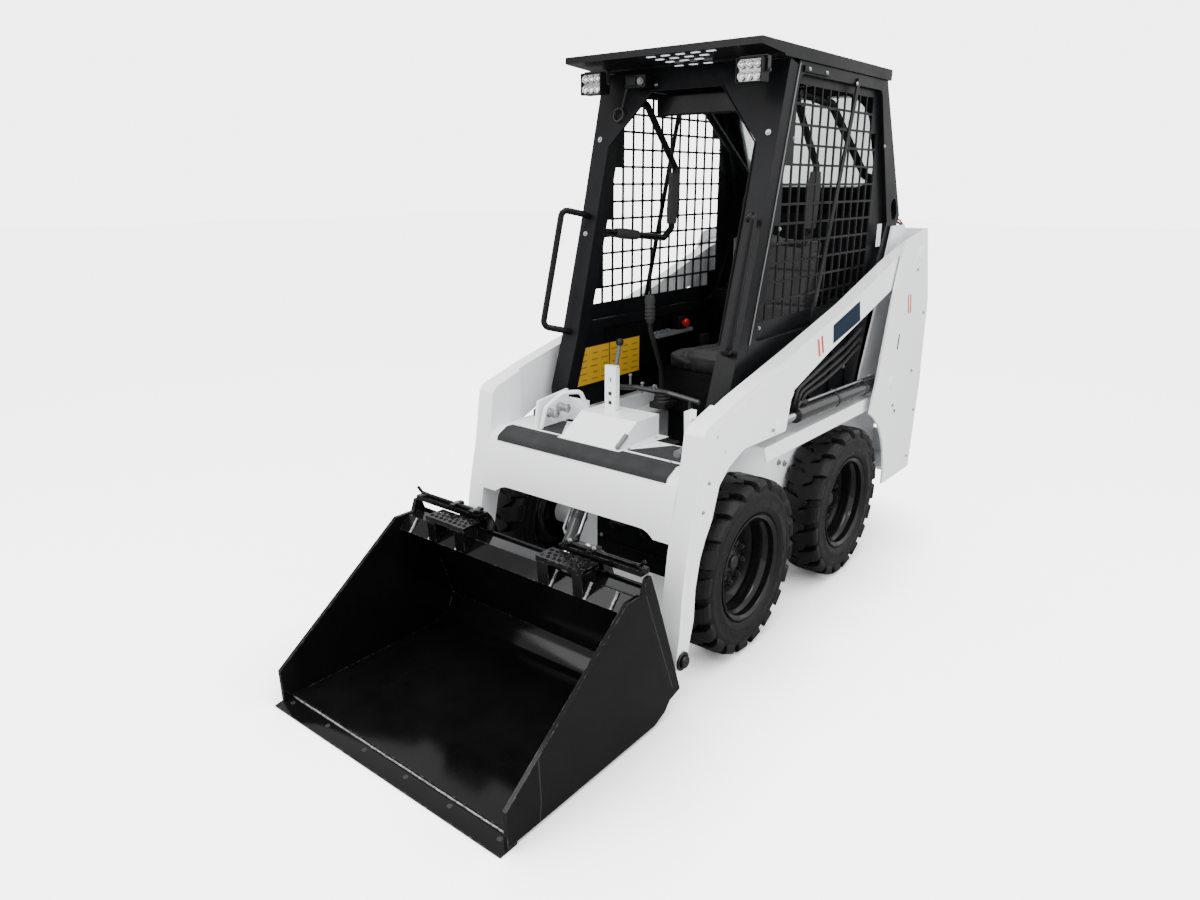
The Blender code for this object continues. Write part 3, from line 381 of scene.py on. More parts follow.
makeFinish("tyreRubber", "tyre_rubber", (0.0040, 0.0040, 0.0040), (0.0070, 0.0068, 0.0064), 0.42, 0.12, fine=600.0,
           clouds=18.0, bump=0.25, dust=0.10, dustColor=(0.026, 0.0245, 0.022), specular=0.24)
makeFinish("cylinderBlack", "cylinder_black", (0.010, 0.010, 0.011), (0.015, 0.015, 0.016), 0.28, 0.06, coat=0.2,
           fine=800.0, bump=0.05)
makeFinish("rodChrome", "rod_chrome", (0.78, 0.78, 0.80), (0.70, 0.70, 0.73), 0.10, 0.04, metallic=1.0, fine=1600.0,
           bump=0.02)
makeFinish("engineMetal", "engine_metal", (0.10, 0.10, 0.105), (0.15, 0.15, 0.155), 0.50, 0.12, metallic=0.6,
           fine=260.0, bump=0.3, dust=0.3)
makeFinish("windowGlass", "tinted_glass", (0.66, 0.76, 0.73), (0.63, 0.74, 0.71), 0.05, 0.02, transmission=0.35,
           alpha=0.62, fine=200.0, bump=0.005)
makeFinish("lampLens", "lamp_lens", (0.86, 0.86, 0.86), (0.74, 0.74, 0.75), 0.10, 0.04, metallic=0.9, coat=0.3,
           fine=900.0, bump=0.05)
makeFinish("seatVinyl", "seat_vinyl", (0.012, 0.012, 0.013), (0.020, 0.020, 0.021), 0.50, 0.10, fine=1400.0,
           clouds=12.0, bump=0.35, dust=0.08, sheen=0.1)
makeFinish("zincBolt", "rod_chrome", (0.50, 0.51, 0.52), (0.36, 0.37, 0.38), 0.35, 0.12, metallic=1.0, fine=2500.0,
           bump=0.1)
makeFinish("blackBolt", "cab_black", (0.020, 0.020, 0.021), (0.035, 0.035, 0.036), 0.40, 0.10, metallic=0.5,
           fine=2500.0, bump=0.1)
makeFinish("hoseRubber", "tyre_rubber", (0.012, 0.012, 0.012), (0.018, 0.018, 0.018), 0.48, 0.08, fine=1800.0,
           bump=0.2)
makeFinish("gritPad", "tyre_rubber", (0.010, 0.0103, 0.011), (0.020, 0.0205, 0.022), 0.88, 0.08, fine=2200.0,
           clouds=60.0, bump=0.9, dust=0.2, dustColor=(0.10, 0.10, 0.10))
makeFinish("weldMetal", "bucket_black", (0.10, 0.10, 0.105), (0.52, 0.52, 0.54), 0.34, 0.15, metallic=0.7, fine=500.0,
           clouds=90.0, bump=0.5)
makeFinish("steelBar", "rod_chrome", (0.45, 0.46, 0.47), (0.33, 0.34, 0.35), 0.30, 0.10, metallic=1.0, fine=900.0,
           bump=0.05)
makeFinish("labelNavy", "white_paint", (0.004, 0.013, 0.026), (0.006, 0.017, 0.032), 0.55, 0.05, fine=600.0,
           bump=0.02,
           specular=0.12)
makeFinish("labelOrange", "white_paint", (0.60, 0.060, 0.022), (0.52, 0.050, 0.020), 0.50, 0.05, fine=600.0,
           bump=0.02,
           specular=0.2)
makeFinish("labelYellow", "white_paint", (0.72, 0.42, 0.025), (0.66, 0.37, 0.02), 0.42, 0.06, fine=600.0, bump=0.04)
makeFinish("labelLine", "white_paint", (0.22, 0.13, 0.02), (0.16, 0.10, 0.015), 0.5, 0.05, fine=600.0, bump=0.02)
# painted glow for the plates under the visor slots; they are no lamp
makeFinish("slotPaintedGlow", "lamp_lens", (0.80, 0.81, 0.82), (0.72, 0.73, 0.75), 0.5, 0.05, fine=600.0, bump=0.02,
           glow=(0.9, 0.92, 0.95), glowPower=0.7)
makeFinish("lampBack", "lamp_lens", (0.16, 0.16, 0.165), (0.26, 0.26, 0.265), 0.25, 0.08, metallic=0.7, fine=900.0,
           bump=0.1)
makeFinish("labelWhite", "white_paint", (0.70, 0.70, 0.69), (0.64, 0.64, 0.63), 0.45, 0.05, fine=600.0, bump=0.02)
makeFinish("tailRed", "lamp_lens", (0.45, 0.012, 0.010), (0.36, 0.010, 0.008), 0.18, 0.05, coat=0.6, fine=900.0,
           bump=0.08)
makeFinish("gripFoam", "seat_vinyl", (0.022, 0.022, 0.023), (0.032, 0.032, 0.033), 0.75, 0.10, fine=2600.0, bump=0.4)
makeFinish("greyPlastic", "cab_black", (0.12, 0.125, 0.13), (0.16, 0.165, 0.17), 0.45, 0.08, fine=1500.0, bump=0.12)
print("finishes made")


# shape helpers
def spot(point, along, axis):
    if axis == "Y":
        return (point[0], along, point[1])
    if axis == "Z":
        return (point[0], point[1], along)
    return (along, point[0], point[1])


def addPrism(bm, outline, low, high, axis="Y"):
    ends = [[bm.verts.new(spot(p, along, axis)) for p in outline] for along in (low, high)]
    count = len(outline)
    for index in range(count):
        after = (index + 1) % count
        bm.faces.new((ends[0][index], ends[0][after], ends[1][after], ends[1][index]))
    bm.faces.new(ends[0])
    bm.faces.new(ends[1])


def addBox(bm, low, high):
    addPrism(bm, [(low[0], low[2]), (high[0], low[2]), (high[0], high[2]), (low[0], high[2])], low[1], high[1])


def framed(direction):
    # Two directions square to a given one.
    along = Vector(direction).normalized()
    across = along.cross(Vector((0, 1, 0) if abs(along.y) < 0.9 else (1, 0, 0))).normalized()
    return along, across, along.cross(across)


def addRings(bm, centres, radii, across, other, sides, caps=True, closed=False):
    rings = []
    for centre, radius, side, up in zip(centres, radii, across, other):
        ring = []
        for step in range(sides):
            turn = 2 * math.pi * step / sides
            ring.append(bm.verts.new(centre + radius * (math.cos(turn) * side + math.sin(turn) * up)))
        rings.append(ring)
    pairs = list(zip(rings, rings[1:] + ([rings[0]] if closed else [])))
    for first, second in pairs:
        for step in range(sides):
            after = (step + 1) % sides
            bm.faces.new((first[step], first[after], second[after], second[step]))
    if caps and not closed:
        bm.faces.new(rings[0])
        bm.faces.new(rings[-1])


def addRod(bm, start, end, radius, sides=16, endRadius=None):
    start, end = Vector(start), Vector(end)
    _, across, other = framed(end - start)
    last = radius if endRadius is None else endRadius
    addRings(bm, [start, end], [radius, last], [across] * 2, [other] * 2, sides)


def addTube(bm, points, radius, sides=10, ripple=0.0):
    # A bar swept along points without twist; ripple makes its radius come and go.
    points = [Vector(p) for p in points]
    tangents = []
    for index in range(len(points)):
        before, after = points[max(0, index - 1)], points[min(len(points) - 1, index + 1)]
        tangents.append((after - before).normalized())
    _, across, _ = framed(tangents[0])
    sidesOut, ups, radii = [], [], []
    for index, tangent in enumerate(tangents):
        across = (across - tangent * across.dot(tangent)).normalized()
        sidesOut.append(across)
        ups.append(tangent.cross(across))
        radii.append(radius * (1.0 - ripple * (index % 2)))
    addRings(bm, points, radii, sidesOut, ups, sides)


def softPath(corners, radius, steps=5):
    # A line of points through corners, each inner corner turned into an arc.
    line = [Vector(corners[0])]
    for index in range(1, len(corners) - 1):
        here = Vector(corners[index])
        back = (Vector(corners[index - 1]) - here).normalized()
        ahead = (Vector(corners[index + 1]) - here).normalized()
        half = back.angle(ahead) / 2
        if half > 1.55:
            line.append(here)
            continue
        middle = here + (back + ahead).normalized() * radius / math.sin(half)
        first = here + back * radius / math.tan(half) - middle
        last = here + ahead * radius / math.tan(half) - middle
        for step in range(steps + 1):
            line.append(middle + first.lerp(last, step / steps).normalized() * radius)
    line.append(Vector(corners[-1]))
    return line


def addTurned(bm, profile, origin, axis, sides=48):
    # A closed (radius, along) outline turned about an axis through origin.
    along, across, other = framed(axis)
    origin = Vector(origin)
    rings = []
    for radius, distance in profile:
        centre = origin + along * distance
        if radius < 1e-6:
            rings.append([bm.verts.new(centre)])
            continue
        ring = []
        for step in range(sides):
            turn = 2 * math.pi * step / sides
            ring.append(bm.verts.new(centre + radius * (math.cos(turn) * across + math.sin(turn) * other)))
        rings.append(ring)
    for index, ring in enumerate(rings):
        following = rings[(index + 1) % len(rings)]
        if len(ring) == 1 and len(following) == 1:
            continue
        for step in range(sides):
            after = (step + 1) % sides
            if len(ring) == 1:
                bm.faces.new((ring[0], following[step], following[after]))
            elif len(following) == 1:
                bm.faces.new((ring[step], following[0], ring[after]))
            else:
                bm.faces.new((ring[step], following[step], following[after], ring[after]))


def addBolt(bm, place, normal, across=0.016, washer=True, proud=None):
    # A hexagon head on a washer, standing on a face.
    place = Vector(place)
    along, _, _ = framed(normal)
    height = across * 0.42 if proud is None else proud
    base = place
    if washer:
        addRod(bm, base, base + along * across * 0.10, across * 0.72, 20)
        base = base + along * across * 0.10
    addRod(bm, base, base + along * height * 0.8, across * 0.575, 6)
    addRod(bm, base + along * height * 0.8, base + along * height, across * 0.575, 6, across * 0.48)


def finishPiece(name, bm, finish, body, replaced=(), bevel=0.0, segments=2, angle=35.0):
    # Turns loose geometry into a named piece with its finish, riding on a body.
    bmesh.ops.recalc_face_normals(bm, faces=bm.faces)
    mesh = bpy.data.meshes.new(name)
    bm.to_mesh(mesh)
    bm.free()
    piece = bpy.data.objects.new(name, mesh)
    bpy.context.scene.collection.objects.link(piece)
    material, slot = finishes[finish]
    mesh.materials.append(material)
    mesh.shade_smooth()
    mesh.set_sharp_from_angle(angle=math.radians(angle))
    if bevel:
        edge = piece.modifiers.new("edges", "BEVEL")
        edge.width = bevel
        edge.segments = segments
        edge.limit_method = "ANGLE"
        edge.angle_limit = math.radians(angle)
        edge.use_clamp_overlap = True
        edge.harden_normals = True
    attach(piece, body)
    if replaced:
        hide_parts(*replaced)
    return piece


def sideName(side):
    return "left" if side > 0 else "right"


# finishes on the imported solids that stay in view
keptFinish = {
    "white_paint": "bodyWhite", "cab_black": "cabBlack", "bucket_black": "bucketBlack", "rim_black": "rimBlack",
    "tyre_rubber": "tyreRubber", "cylinder_black": "cylinderBlack", "rod_chrome": "rodChrome",
    "engine_metal": "engineMetal", "tinted_glass": "windowGlass", "lamp_lens": "lampLens",
    "seat_vinyl": "seatVinyl",
}
softEdges = {"bodyWhite": 0.0022, "cabBlack": 0.0015, "bucketBlack": 0.0012, "cylinderBlack": 0.0010}


def dressFrame():
    for row in frame["record"]["subparts"]:
        node = frame["nodes"][row["node"]]
        finish = keptFinish[row["material_slot"]]
        node.data.materials.clear()
        node.data.materials.append(finishes[finish][0])
        if "custom_normal" in node.data.attributes:
            node.data.attributes.remove(node.data.attributes["custom_normal"])
        node.data.shade_smooth()
        weld = node.modifiers.new("joinEdges", "WELD")
        weld.merge_threshold = 0.00004
        if finish in softEdges:
            edge = node.modifiers.new("softEdges", "BEVEL")
            edge.width = softEdges[finish]
            edge.segments = 2
            edge.limit_method = "ANGLE"
            edge.angle_limit = math.radians(32)
            edge.use_clamp_overlap = True
        shade = node.modifiers.new("evenShading", "WEIGHTED_NORMAL")
        shade.keep_sharp = False
        shade.weight = 60


dressFrame()
print("frame dressed")


# wheels
wheel = {
    "frontX": 0.130, "rearX": -0.592, "axleZ": 0.285, "middleY": 0.3775,
    "lugs": 20, "crown": 0.285, "nuts": 8, "nutRing": 0.064,
}


def addLug(bm, centre, side, turn, outward):
    # One tread bar: from a round tip past the middle, over the shoulder and down the wall.
    tip, crown = -0.014, wheel["crown"]
    stations = [
        # y, top radius, base radius, sideways offset, half width
        (tip, crown, 0.258, 0.0115, 0.0140), (0.000, crown, 0.258, 0.0030, 0.0215),
        (0.010, crown, 0.258, 0.0000, 0.0255), (0.040, crown, 0.258, 0.0100, 0.0265),
        (0.056, 0.2835, 0.256, 0.0165, 0.0280), (0.066, 0.2790, 0.252, 0.0200, 0.0290),
        (0.0725, 0.2680, 0.246, 0.0220, 0.0285), (0.0725, 0.2540, 0.240, 0.0225, 0.0245),
        (0.0700, 0.2490, 0.238, 0.0225, 0.0215),
    ]
    rows = []
    for y, top, low, shift, half in stations:
        lowY = min(y, 0.064)
        corners = []
        for radius, place, sign, extra in ((top, y, -1, 0.0), (top, y, 1, 0.0), (low, lowY, 1, 0.004),
                                           (low, lowY, -1, 0.004)):
            angle = turn + (shift + sign * (half + extra)) / crown
            corners.append(bm.verts.new((
                centre[0] + radius * math.cos(angle), centre[1] + side * outward * place,
                centre[2] + radius * math.sin(angle),
            )))
        rows.append(corners)
    for first, second in zip(rows, rows[1:]):
        for index in range(4):
            after = (index + 1) % 4
            bm.faces.new((first[index], first[after], second[after], second[index]))
    bm.faces.new(rows[0])
    bm.faces.new(rows[-1])
    # round pad at the tip
    angle = turn + 0.0115 / crown
    out = Vector((math.cos(angle), 0, math.sin(angle)))
    foot = Vector((centre[0], centre[1] + side * outward * tip, centre[2]))
    addRod(bm, foot + out * 0.258, foot + out * (crown - 0.0006), 0.0160, 16)


def makeTyre(name, centre, side):
    bm = bmesh.new()
    profile = [
        (0.1612, -0.0575), (0.1760, -0.0585), (0.1790, -0.0640), (0.1880, -0.0690), (0.1960, -0.0712),
        (0.1985, -0.0722), (0.2015, -0.0712), (0.2160, -0.0716), (0.2300, -0.0700), (0.2330, -0.0712),
        (0.2380, -0.0706), (0.2480, -0.0690), (0.2590, -0.0625), (0.2655, -0.0450), (0.2670, -0.0200),
        (0.2670, 0.0200), (0.2655, 0.0450), (0.2590, 0.0625), (0.2480, 0.0690), (0.2380, 0.0706),
        (0.2330, 0.0712), (0.2300, 0.0700), (0.2160, 0.0716), (0.2015, 0.0712), (0.1985, 0.0722),
        (0.1960, 0.0712), (0.1880, 0.0690), (0.1790, 0.0640), (0.1760, 0.0585), (0.1612, 0.0575),
    ]
    addTurned(bm, profile, centre, (0, 1, 0), 80)
    for row in (1, -1):
        for count in range(wheel["lugs"]):
            turn = 2 * math.pi * (count + (0.0 if row > 0 else 0.5)) / wheel["lugs"] + 0.05
            addLug(bm, centre, side, turn, row)
    # moulded blocks on the wall between two ribs
    for row in (1, -1):
        for count in range(24):
            if count % 6 > 3:
                continue
            turn = 2 * math.pi * count / 24
            out = Vector((math.cos(turn), 0, math.sin(turn)))
            round_ = Vector((-math.sin(turn), 0, math.cos(turn)))
            middle = Vector(centre) + out * 0.2085 + Vector((0, row * 0.0700, 0))
            corners = []
            for a, b in ((-1, -1), (1, -1), (1, 1), (-1, 1)):
                corners.append(middle + out * 0.0035 * a + round_ * 0.013 * b)
            low = [bm.verts.new(c) for c in corners]
            high = [bm.verts.new(c + Vector((0, row * 0.0022, 0))) for c in corners]
            bm.faces.new(high)
            for index in range(4):
                after = (index + 1) % 4
                bm.faces.new((low[index], low[after], high[after], high[index]))
    return finishPiece(f"{name}Tyre", bm, "tyreRubber", f"{name}_wheel".replace("Left", "_left").replace("Right",
        "_right"),
                       [f"{name}_tyre".replace("Left", "_left").replace("Right", "_right")], bevel=0.0016, angle=30)


def makeRim(name, body, centre, side):
    # Deep dished steel rim with its disc, hub and nuts; a is measured outwards from the middle.
    bm = bmesh.new()
    barrel = [
        (0.1700, 0.0660), (0.1718, 0.0635), (0.1700, 0.0600), (0.1606, 0.0582), (0.1606, 0.0360), (0.1540, 0.0290),
        (0.1500, 0.0240), (0.1500, -0.0200), (0.1540, -0.0280), (0.1606, -0.0360), (0.1606, -0.0582),
        (0.1700, -0.0600), (0.1718, -0.0635), (0.1700, -0.0660), (0.1655, -0.0640), (0.1575, -0.0585),
        (0.1570, -0.0380), (0.1500, -0.0295), (0.1465, -0.0240), (0.1465, 0.0240), (0.1505, 0.0300),
        (0.1570, 0.0385), (0.1575, 0.0585), (0.1655, 0.0640),
    ]
    axis = (0, side, 0)
    addTurned(bm, barrel, centre, axis, 72)
    disc = [
        (0.1468, -0.0140), (0.1468, -0.0185), (0.1380, -0.0225), (0.1240, -0.0280), (0.1000, -0.0295),
        (0.0880, -0.0250), (0.0820, -0.0215), (0.0500, -0.0215), (0.0420, -0.0230), (0.0, -0.0230),
        (0.0, -0.0180), (0.0420, -0.0175), (0.0500, -0.0165), (0.0820, -0.0165), (0.0890, -0.0205),
        (0.1000, -0.0250), (0.1240, -0.0235), (0.1370, -0.0180),
    ]
    addTurned(bm, disc, centre, axis, 72)
    rim = finishPiece(f"{name}Rim", bm, "rimBlack", body, [f"{name}_rim".replace("Left", "_left").replace("Right",
        "_right")],
                      bevel=0.0)
    bm = bmesh.new()
    hub = [(0.0, 0.0060), (0.0200, 0.0060), (0.0235, 0.0030), (0.0240, -0.0050), (0.0300, -0.0080), (0.0360, -0.0100),
           (0.0375, -0.0170), (0.0375, -0.0190), (0.0, -0.0190)]
    addTurned(bm, hub, centre, axis, 40)
    for count in range(wheel["nuts"]):
        turn = 2 * math.pi * count / wheel["nuts"] + 0.2
        out = Vector((math.cos(turn), 0, math.sin(turn)))
        foot = Vector(centre) + out * wheel["nutRing"] + Vector((0, side * -0.0168, 0))
        addRod(bm, foot, foot + Vector((0, side * 0.0030, 0)), 0.0125, 20, 0.0110)
        addRod(bm, foot + Vector((0, side * 0.0030, 0)), foot + Vector((0, side * 0.0150, 0)), 0.0102, 6)
        addRod(bm, foot + Vector((0, side * 0.0150, 0)), foot + Vector((0, side * 0.0215, 0)), 0.0060, 12)
    for count in range(5):
        turn = 2 * math.pi * count / 5
        out = Vector((math.cos(turn), 0, math.sin(turn)))
        addBolt(bm, Vector(centre) + out * 0.0300 + Vector((0, side * -0.0095, 0)), (0, side, 0), 0.008, False)
    finishPiece(f"{name}Hub", bm, "blackBolt", body, bevel=0.0006)
    bm = bmesh.new()
    foot = Vector(centre) + Vector((0.137, 0, 0.030))
    addTube(bm, [foot + Vector((0, side * -0.018, 0)), foot + Vector((0, side * 0.004, 0)),
                 foot + Vector((-0.010, side * 0.026, 0))], 0.0042, 10)
    finishPiece(f"{name}Valve", bm, "hoseRubber", body)
    return rim


def makeWheels():
    for end, axleX in (("front", wheel["frontX"]), ("rear", wheel["rearX"])):
        for side in (1, -1):
            name = end + ("Left" if side > 0 else "Right")
            body = f"{end}_{sideName(side)}_wheel"
            centre = (axleX, side * wheel["middleY"], wheel["axleZ"])
            makeTyre(name, centre, side)
            makeRim(name, body, centre, side)


makeWheels()
print("wheels made")


# helpers for plates with holes and for carved solids
def plateWithHoles(outline, holes, low, high, axis="Y"):
    curve = bpy.data.curves.new("plateShape", "CURVE")
    curve.dimensions = "2D"
    curve.fill_mode = "BOTH"
    curve.extrude = (high - low) / 2
    for loop in [outline, *holes]:
        spline = curve.splines.new("POLY")
        spline.points.add(len(loop) - 1)
        for point, corner in zip(spline.points, loop):
            point.co = (corner[0], corner[1], 0.0, 1.0)
        spline.use_cyclic_u = True
    holder = bpy.data.objects.new("plateShape", curve)
    bpy.context.scene.collection.objects.link(holder)
    mesh = bpy.data.meshes.new_from_object(holder.evaluated_get(bpy.context.evaluated_depsgraph_get()))
    bm = bmesh.new()
    bm.from_mesh(mesh)
    bpy.data.objects.remove(holder)
    bpy.data.curves.remove(curve)
    bpy.data.meshes.remove(mesh)
    bmesh.ops.remove_doubles(bm, verts=bm.verts, dist=0.00001)
    middle = (low + high) / 2
    for vert in bm.verts:
        vert.co = spot((vert.co.x, vert.co.y), middle + vert.co.z, axis)
    return bm


def slotShape(centre, length, width, turn=0.0, steps=6):
    # A round-ended slot as a list of corners.
    corners = []
    for end, start in ((1, -90), (-1, 90)):
        for step in range(steps + 1):
            angle = math.radians(start + 180 * step / steps)
            x = end * (length - width) / 2 + width / 2 * math.cos(angle)
            y = width / 2 * math.sin(angle)
            corners.append((centre[0] + x * math.cos(turn) - y * math.sin(turn),
                            centre[1] + x * math.sin(turn) + y * math.cos(turn)))
    return corners


def roundShape(centre, radius, steps=24):
    return [(centre[0] + radius * math.cos(2 * math.pi * step / steps),
             centre[1] + radius * math.sin(2 * math.pi * step / steps)) for step in range(steps)]


def carvedMesh(solid, cutter):
    # Cuts one closed mesh out of another; both are loose geometry.
    holders = []
    for bm in (solid, cutter):
        bmesh.ops.remove_doubles(bm, verts=bm.verts, dist=0.00003)
        bmesh.ops.recalc_face_normals(bm, faces=bm.faces)
        mesh = bpy.data.meshes.new("carve")
        bm.to_mesh(mesh)
        bm.free()
        holder = bpy.data.objects.new("carve", mesh)
        bpy.context.scene.collection.objects.link(holder)
        holders.append(holder)
    cut = holders[0].modifiers.new("cut", "BOOLEAN")
    cut.operation = "DIFFERENCE"
    cut.solver = "EXACT"
    cut.object = holders[1]
    mesh = bpy.data.meshes.new_from_object(holders[0].evaluated_get(bpy.context.evaluated_depsgraph_get()))
    result = bmesh.new()
    result.from_mesh(mesh)
    bpy.data.meshes.remove(mesh)
    for holder in holders:
        old = holder.data
        bpy.data.objects.remove(holder)
        bpy.data.meshes.remove(old)
    return result


def carveNode(name, node, cutter, finish, body):
    solid = bmesh.new()
    solid.from_mesh(frame["nodes"][node].data)
    piece = finishPiece(name, carvedMesh(solid, cutter), finish, body, [node], bevel=softEdges[finish], angle=32)
    return piece


# cab: roof, posts, panels, screens, lamps
cab = {
    "panelY": 0.345, "screenY": 0.325, "screenPlate": 0.0052,
    "cellX": 0.0595, "cellZ": 0.0585, "barX": -0.199, "barZ": 1.663, "bar": 0.0070, "border": 0.007,
    "slotLong": 0.032, "slotWide": 0.0150, "slotPitch": 0.0525,
    # count, x, first y, height of the visor's underside
    "slotRows": ((5, 0.052, -0.033, 1.7927), (4, 0.012, -0.028, 1.7896), (3, -0.028, -0.018, 1.7865),
                 (3, -0.066, -0.010, 1.7788)),
    "roofFront": 0.075, "roofRear": -0.879, "roofTop": 1.814,
}
windowOutline = [(-0.185, 1.742), (-0.070, 1.300), (0.024, 0.968), (-0.820, 0.968), (-0.985, 1.290), (-0.820, 1.742)]


def postFront(z):
    corners = [(0.177, 0.757), (0.117, 0.930), (0.004, 1.330), (-0.094, 1.711), (-0.112, 1.778)]
    for low, high in zip(corners, corners[1:]):
        if z <= high[1]:
            return low[0] + (high[0] - low[0]) * (z - low[1]) / (high[1] - low[1])
    return corners[-1][0]


def insideOutline(point, outline, margin):
    # True where a point is inside a convex outline by more than a margin.
    sign = 0.0
    for index, start in enumerate(outline):
        end = outline[(index + 1) % len(outline)]
        edge = Vector((end[0] - start[0], end[1] - start[1]))
        away = Vector((point[0] - start[0], point[1] - start[1]))
        distance = (edge.x * away.y - edge.y * away.x) / edge.length
        if sign == 0.0:
            sign = 1.0 if distance > 0 else -1.0
        if distance * sign < margin:
            return False
    return True


def screenHoles():
    holes = []
    for column in range(-4, 15):
        for row in range(-2, 14):
            right = cab["barX"] + cab["cellX"] * 4 - cab["cellX"] * column - cab["bar"] / 2
            left = right - cab["cellX"] + cab["bar"]
            high = cab["barZ"] + cab["cellZ"] - cab["cellZ"] * row - cab["bar"] / 2
            low = high - cab["cellZ"] + cab["bar"]
            corners = [(left, low), (right, low), (right, high), (left, high)]
            if all(insideOutline(corner, windowOutline, cab["border"]) for corner in corners):
                soft = 0.0022
                holes.append([
                    (left + soft, low), (right - soft, low), (right, low + soft), (right, high - soft),
                    (right - soft, high), (left + soft, high), (left, high - soft), (left, low + soft),
                ])
    return holes


def makeScreens():
    outline = []
    count = len(windowOutline)
    for index, corner in enumerate(windowOutline):
        corner = Vector(corner)
        if index in (1, 4):
            outline.append(tuple(corner))
            continue
        for other in (windowOutline[index - 1], windowOutline[(index + 1) % count]):
            toward = (Vector(other) - corner).normalized()
            outline.append(tuple(corner + toward * 0.026))
    centre = Vector((-0.45, 1.36))
    outline = [tuple(centre + (Vector(p) - centre) * 0.9985) for p in outline]
    holes = screenHoles()
    for side in (1, -1):
        half = cab["screenPlate"] / 2
        bm = plateWithHoles(outline, holes, side * cab["screenY"] - half, side * cab["screenY"] + half)
        finishPiece(f"{sideName(side)}MeshScreen", bm, "cabBlack", "chassis", [f"{sideName(side)}_screen"])


def makeSidePanels():
    for side in (1, -1):
        cutter = bmesh.new()
        low, high = sorted((side * 0.26, side * 0.38))
        addPrism(cutter, slotShape((-1.045, 1.335), 0.082, 0.050, math.radians(68)), low, high)
        carveNode(f"{sideName(side)}CabPanel", f"cab_{sideName(side)}_side", cutter, "cabBlack", "chassis")
        bm = bmesh.new()
        face = side * (cab["panelY"] + 0.0004)
        out = side * (cab["panelY"] + 0.0062)
        # slanted flat bar over the screen, and a short one near the top
        for top, foot, half in (((-0.601, 1.760), (-0.3635, 0.950), 0.011),
                                ((-0.196, 1.757), (-0.366, 1.757), 0.009)):
            line = Vector((foot[0] - top[0], foot[1] - top[1])).normalized()
            square = Vector((-line.y, line.x)) * half
            corners = [Vector(top) + square, Vector(foot) + square, Vector(foot) - square, Vector(top) - square]
            addPrism(bm, [tuple(c) for c in corners], *sorted((face, out)))
        finishPiece(f"{sideName(side)}ScreenBars", bm, "cabBlack", "chassis", bevel=0.0008)
        bm = bmesh.new()
        for x, z in ((-0.225, 1.757), (-0.345, 1.757), (-0.580, 1.745)):
            addRod(bm, (x, out, z), (x, out + side * 0.0035, z), 0.0062, 20, 0.0050)
        for x, z in ((-0.010, 1.010), (-0.160, 1.560), (-0.105, 1.300), (-0.885, 1.560), (-0.850, 0.948),
                     (-0.420, 0.948)):
            addBolt(bm, (x, face, z), (0, side, 0), 0.009, True)
        finishPiece(f"{sideName(side)}PanelBolts", bm, "zincBolt", "chassis")
        bm = bmesh.new()
        addBox(bm, (-0.934, min(face, face + side * 0.0008), 1.203), (-0.892, max(face, face + side * 0.0008), 1.286))
        finishPiece(f"{sideName(side)}PanelLabel", bm, "labelWhite", "chassis")
        # folded flange where the panel meets the front post, in grey: a painted highlight for the panel's bright
        # front edge
        bm = bmesh.new()
        zs = (0.965, 1.330, 1.711, 1.770)
        for first, second in zip(zs, zs[1:]):
            a, b = postFront(first) - 0.0588, postFront(second) - 0.0588
            addPrism(bm, [(a - 0.0035, first), (b - 0.0035, second), (b, second), (a, first)],
                     *sorted((face, face + side * 0.0035)))
        bmesh.ops.remove_doubles(bm, verts=bm.verts, dist=0.00001)
        finishPiece(f"{sideName(side)}PostFlangeHighlight", bm, "greyPlastic", "chassis", bevel=0.0006)


def makeRoof():
    cutter = bmesh.new()
    light = bmesh.new()
    for count, x, start, under in cab["slotRows"]:
        for index in range(count):
            centre = (x, start + cab["slotPitch"] * index)
            addPrism(cutter, slotShape(centre, cab["slotLong"], cab["slotWide"], math.pi / 2), 1.70, 1.90, "Z")
            inner = slotShape(centre, cab["slotLong"] - 0.0006, cab["slotWide"] - 0.0006, math.pi / 2)
            addPrism(light, inner, under - 0.0009, under + 0.0004, "Z")
    # the plates under the slots glow though they are no lamp: painted light that makes the slots look bright
    finishPiece("visorSlotGlowPlates", light, "slotPaintedGlow", "chassis")
    carveNode("cabRoof", "cab_roof", cutter, "cabBlack", "chassis")
    bm = bmesh.new()
    for side in (1, -1):
        # rain gutter and edge bead along each side, with roof bolts
        addTube(bm, [(cab["roofRear"] + 0.01, side * 0.3475, cab["roofTop"] - 0.0042),
                     (cab["roofFront"] - 0.006, side * 0.3475, cab["roofTop"] - 0.0042)],
                0.0040, 10)
    finishPiece("roofEdgeBead", bm, "cabBlack", "chassis")
    bm = bmesh.new()
    for x in (-0.80, -0.50, -0.20):
        for y in (-0.300, 0.300):
            addBolt(bm, (x, y, cab["roofTop"] - 0.0068), (0, 0, 1), 0.009, True, 0.0060)
    finishPiece("roofBolts", bm, "blackBolt", "chassis")


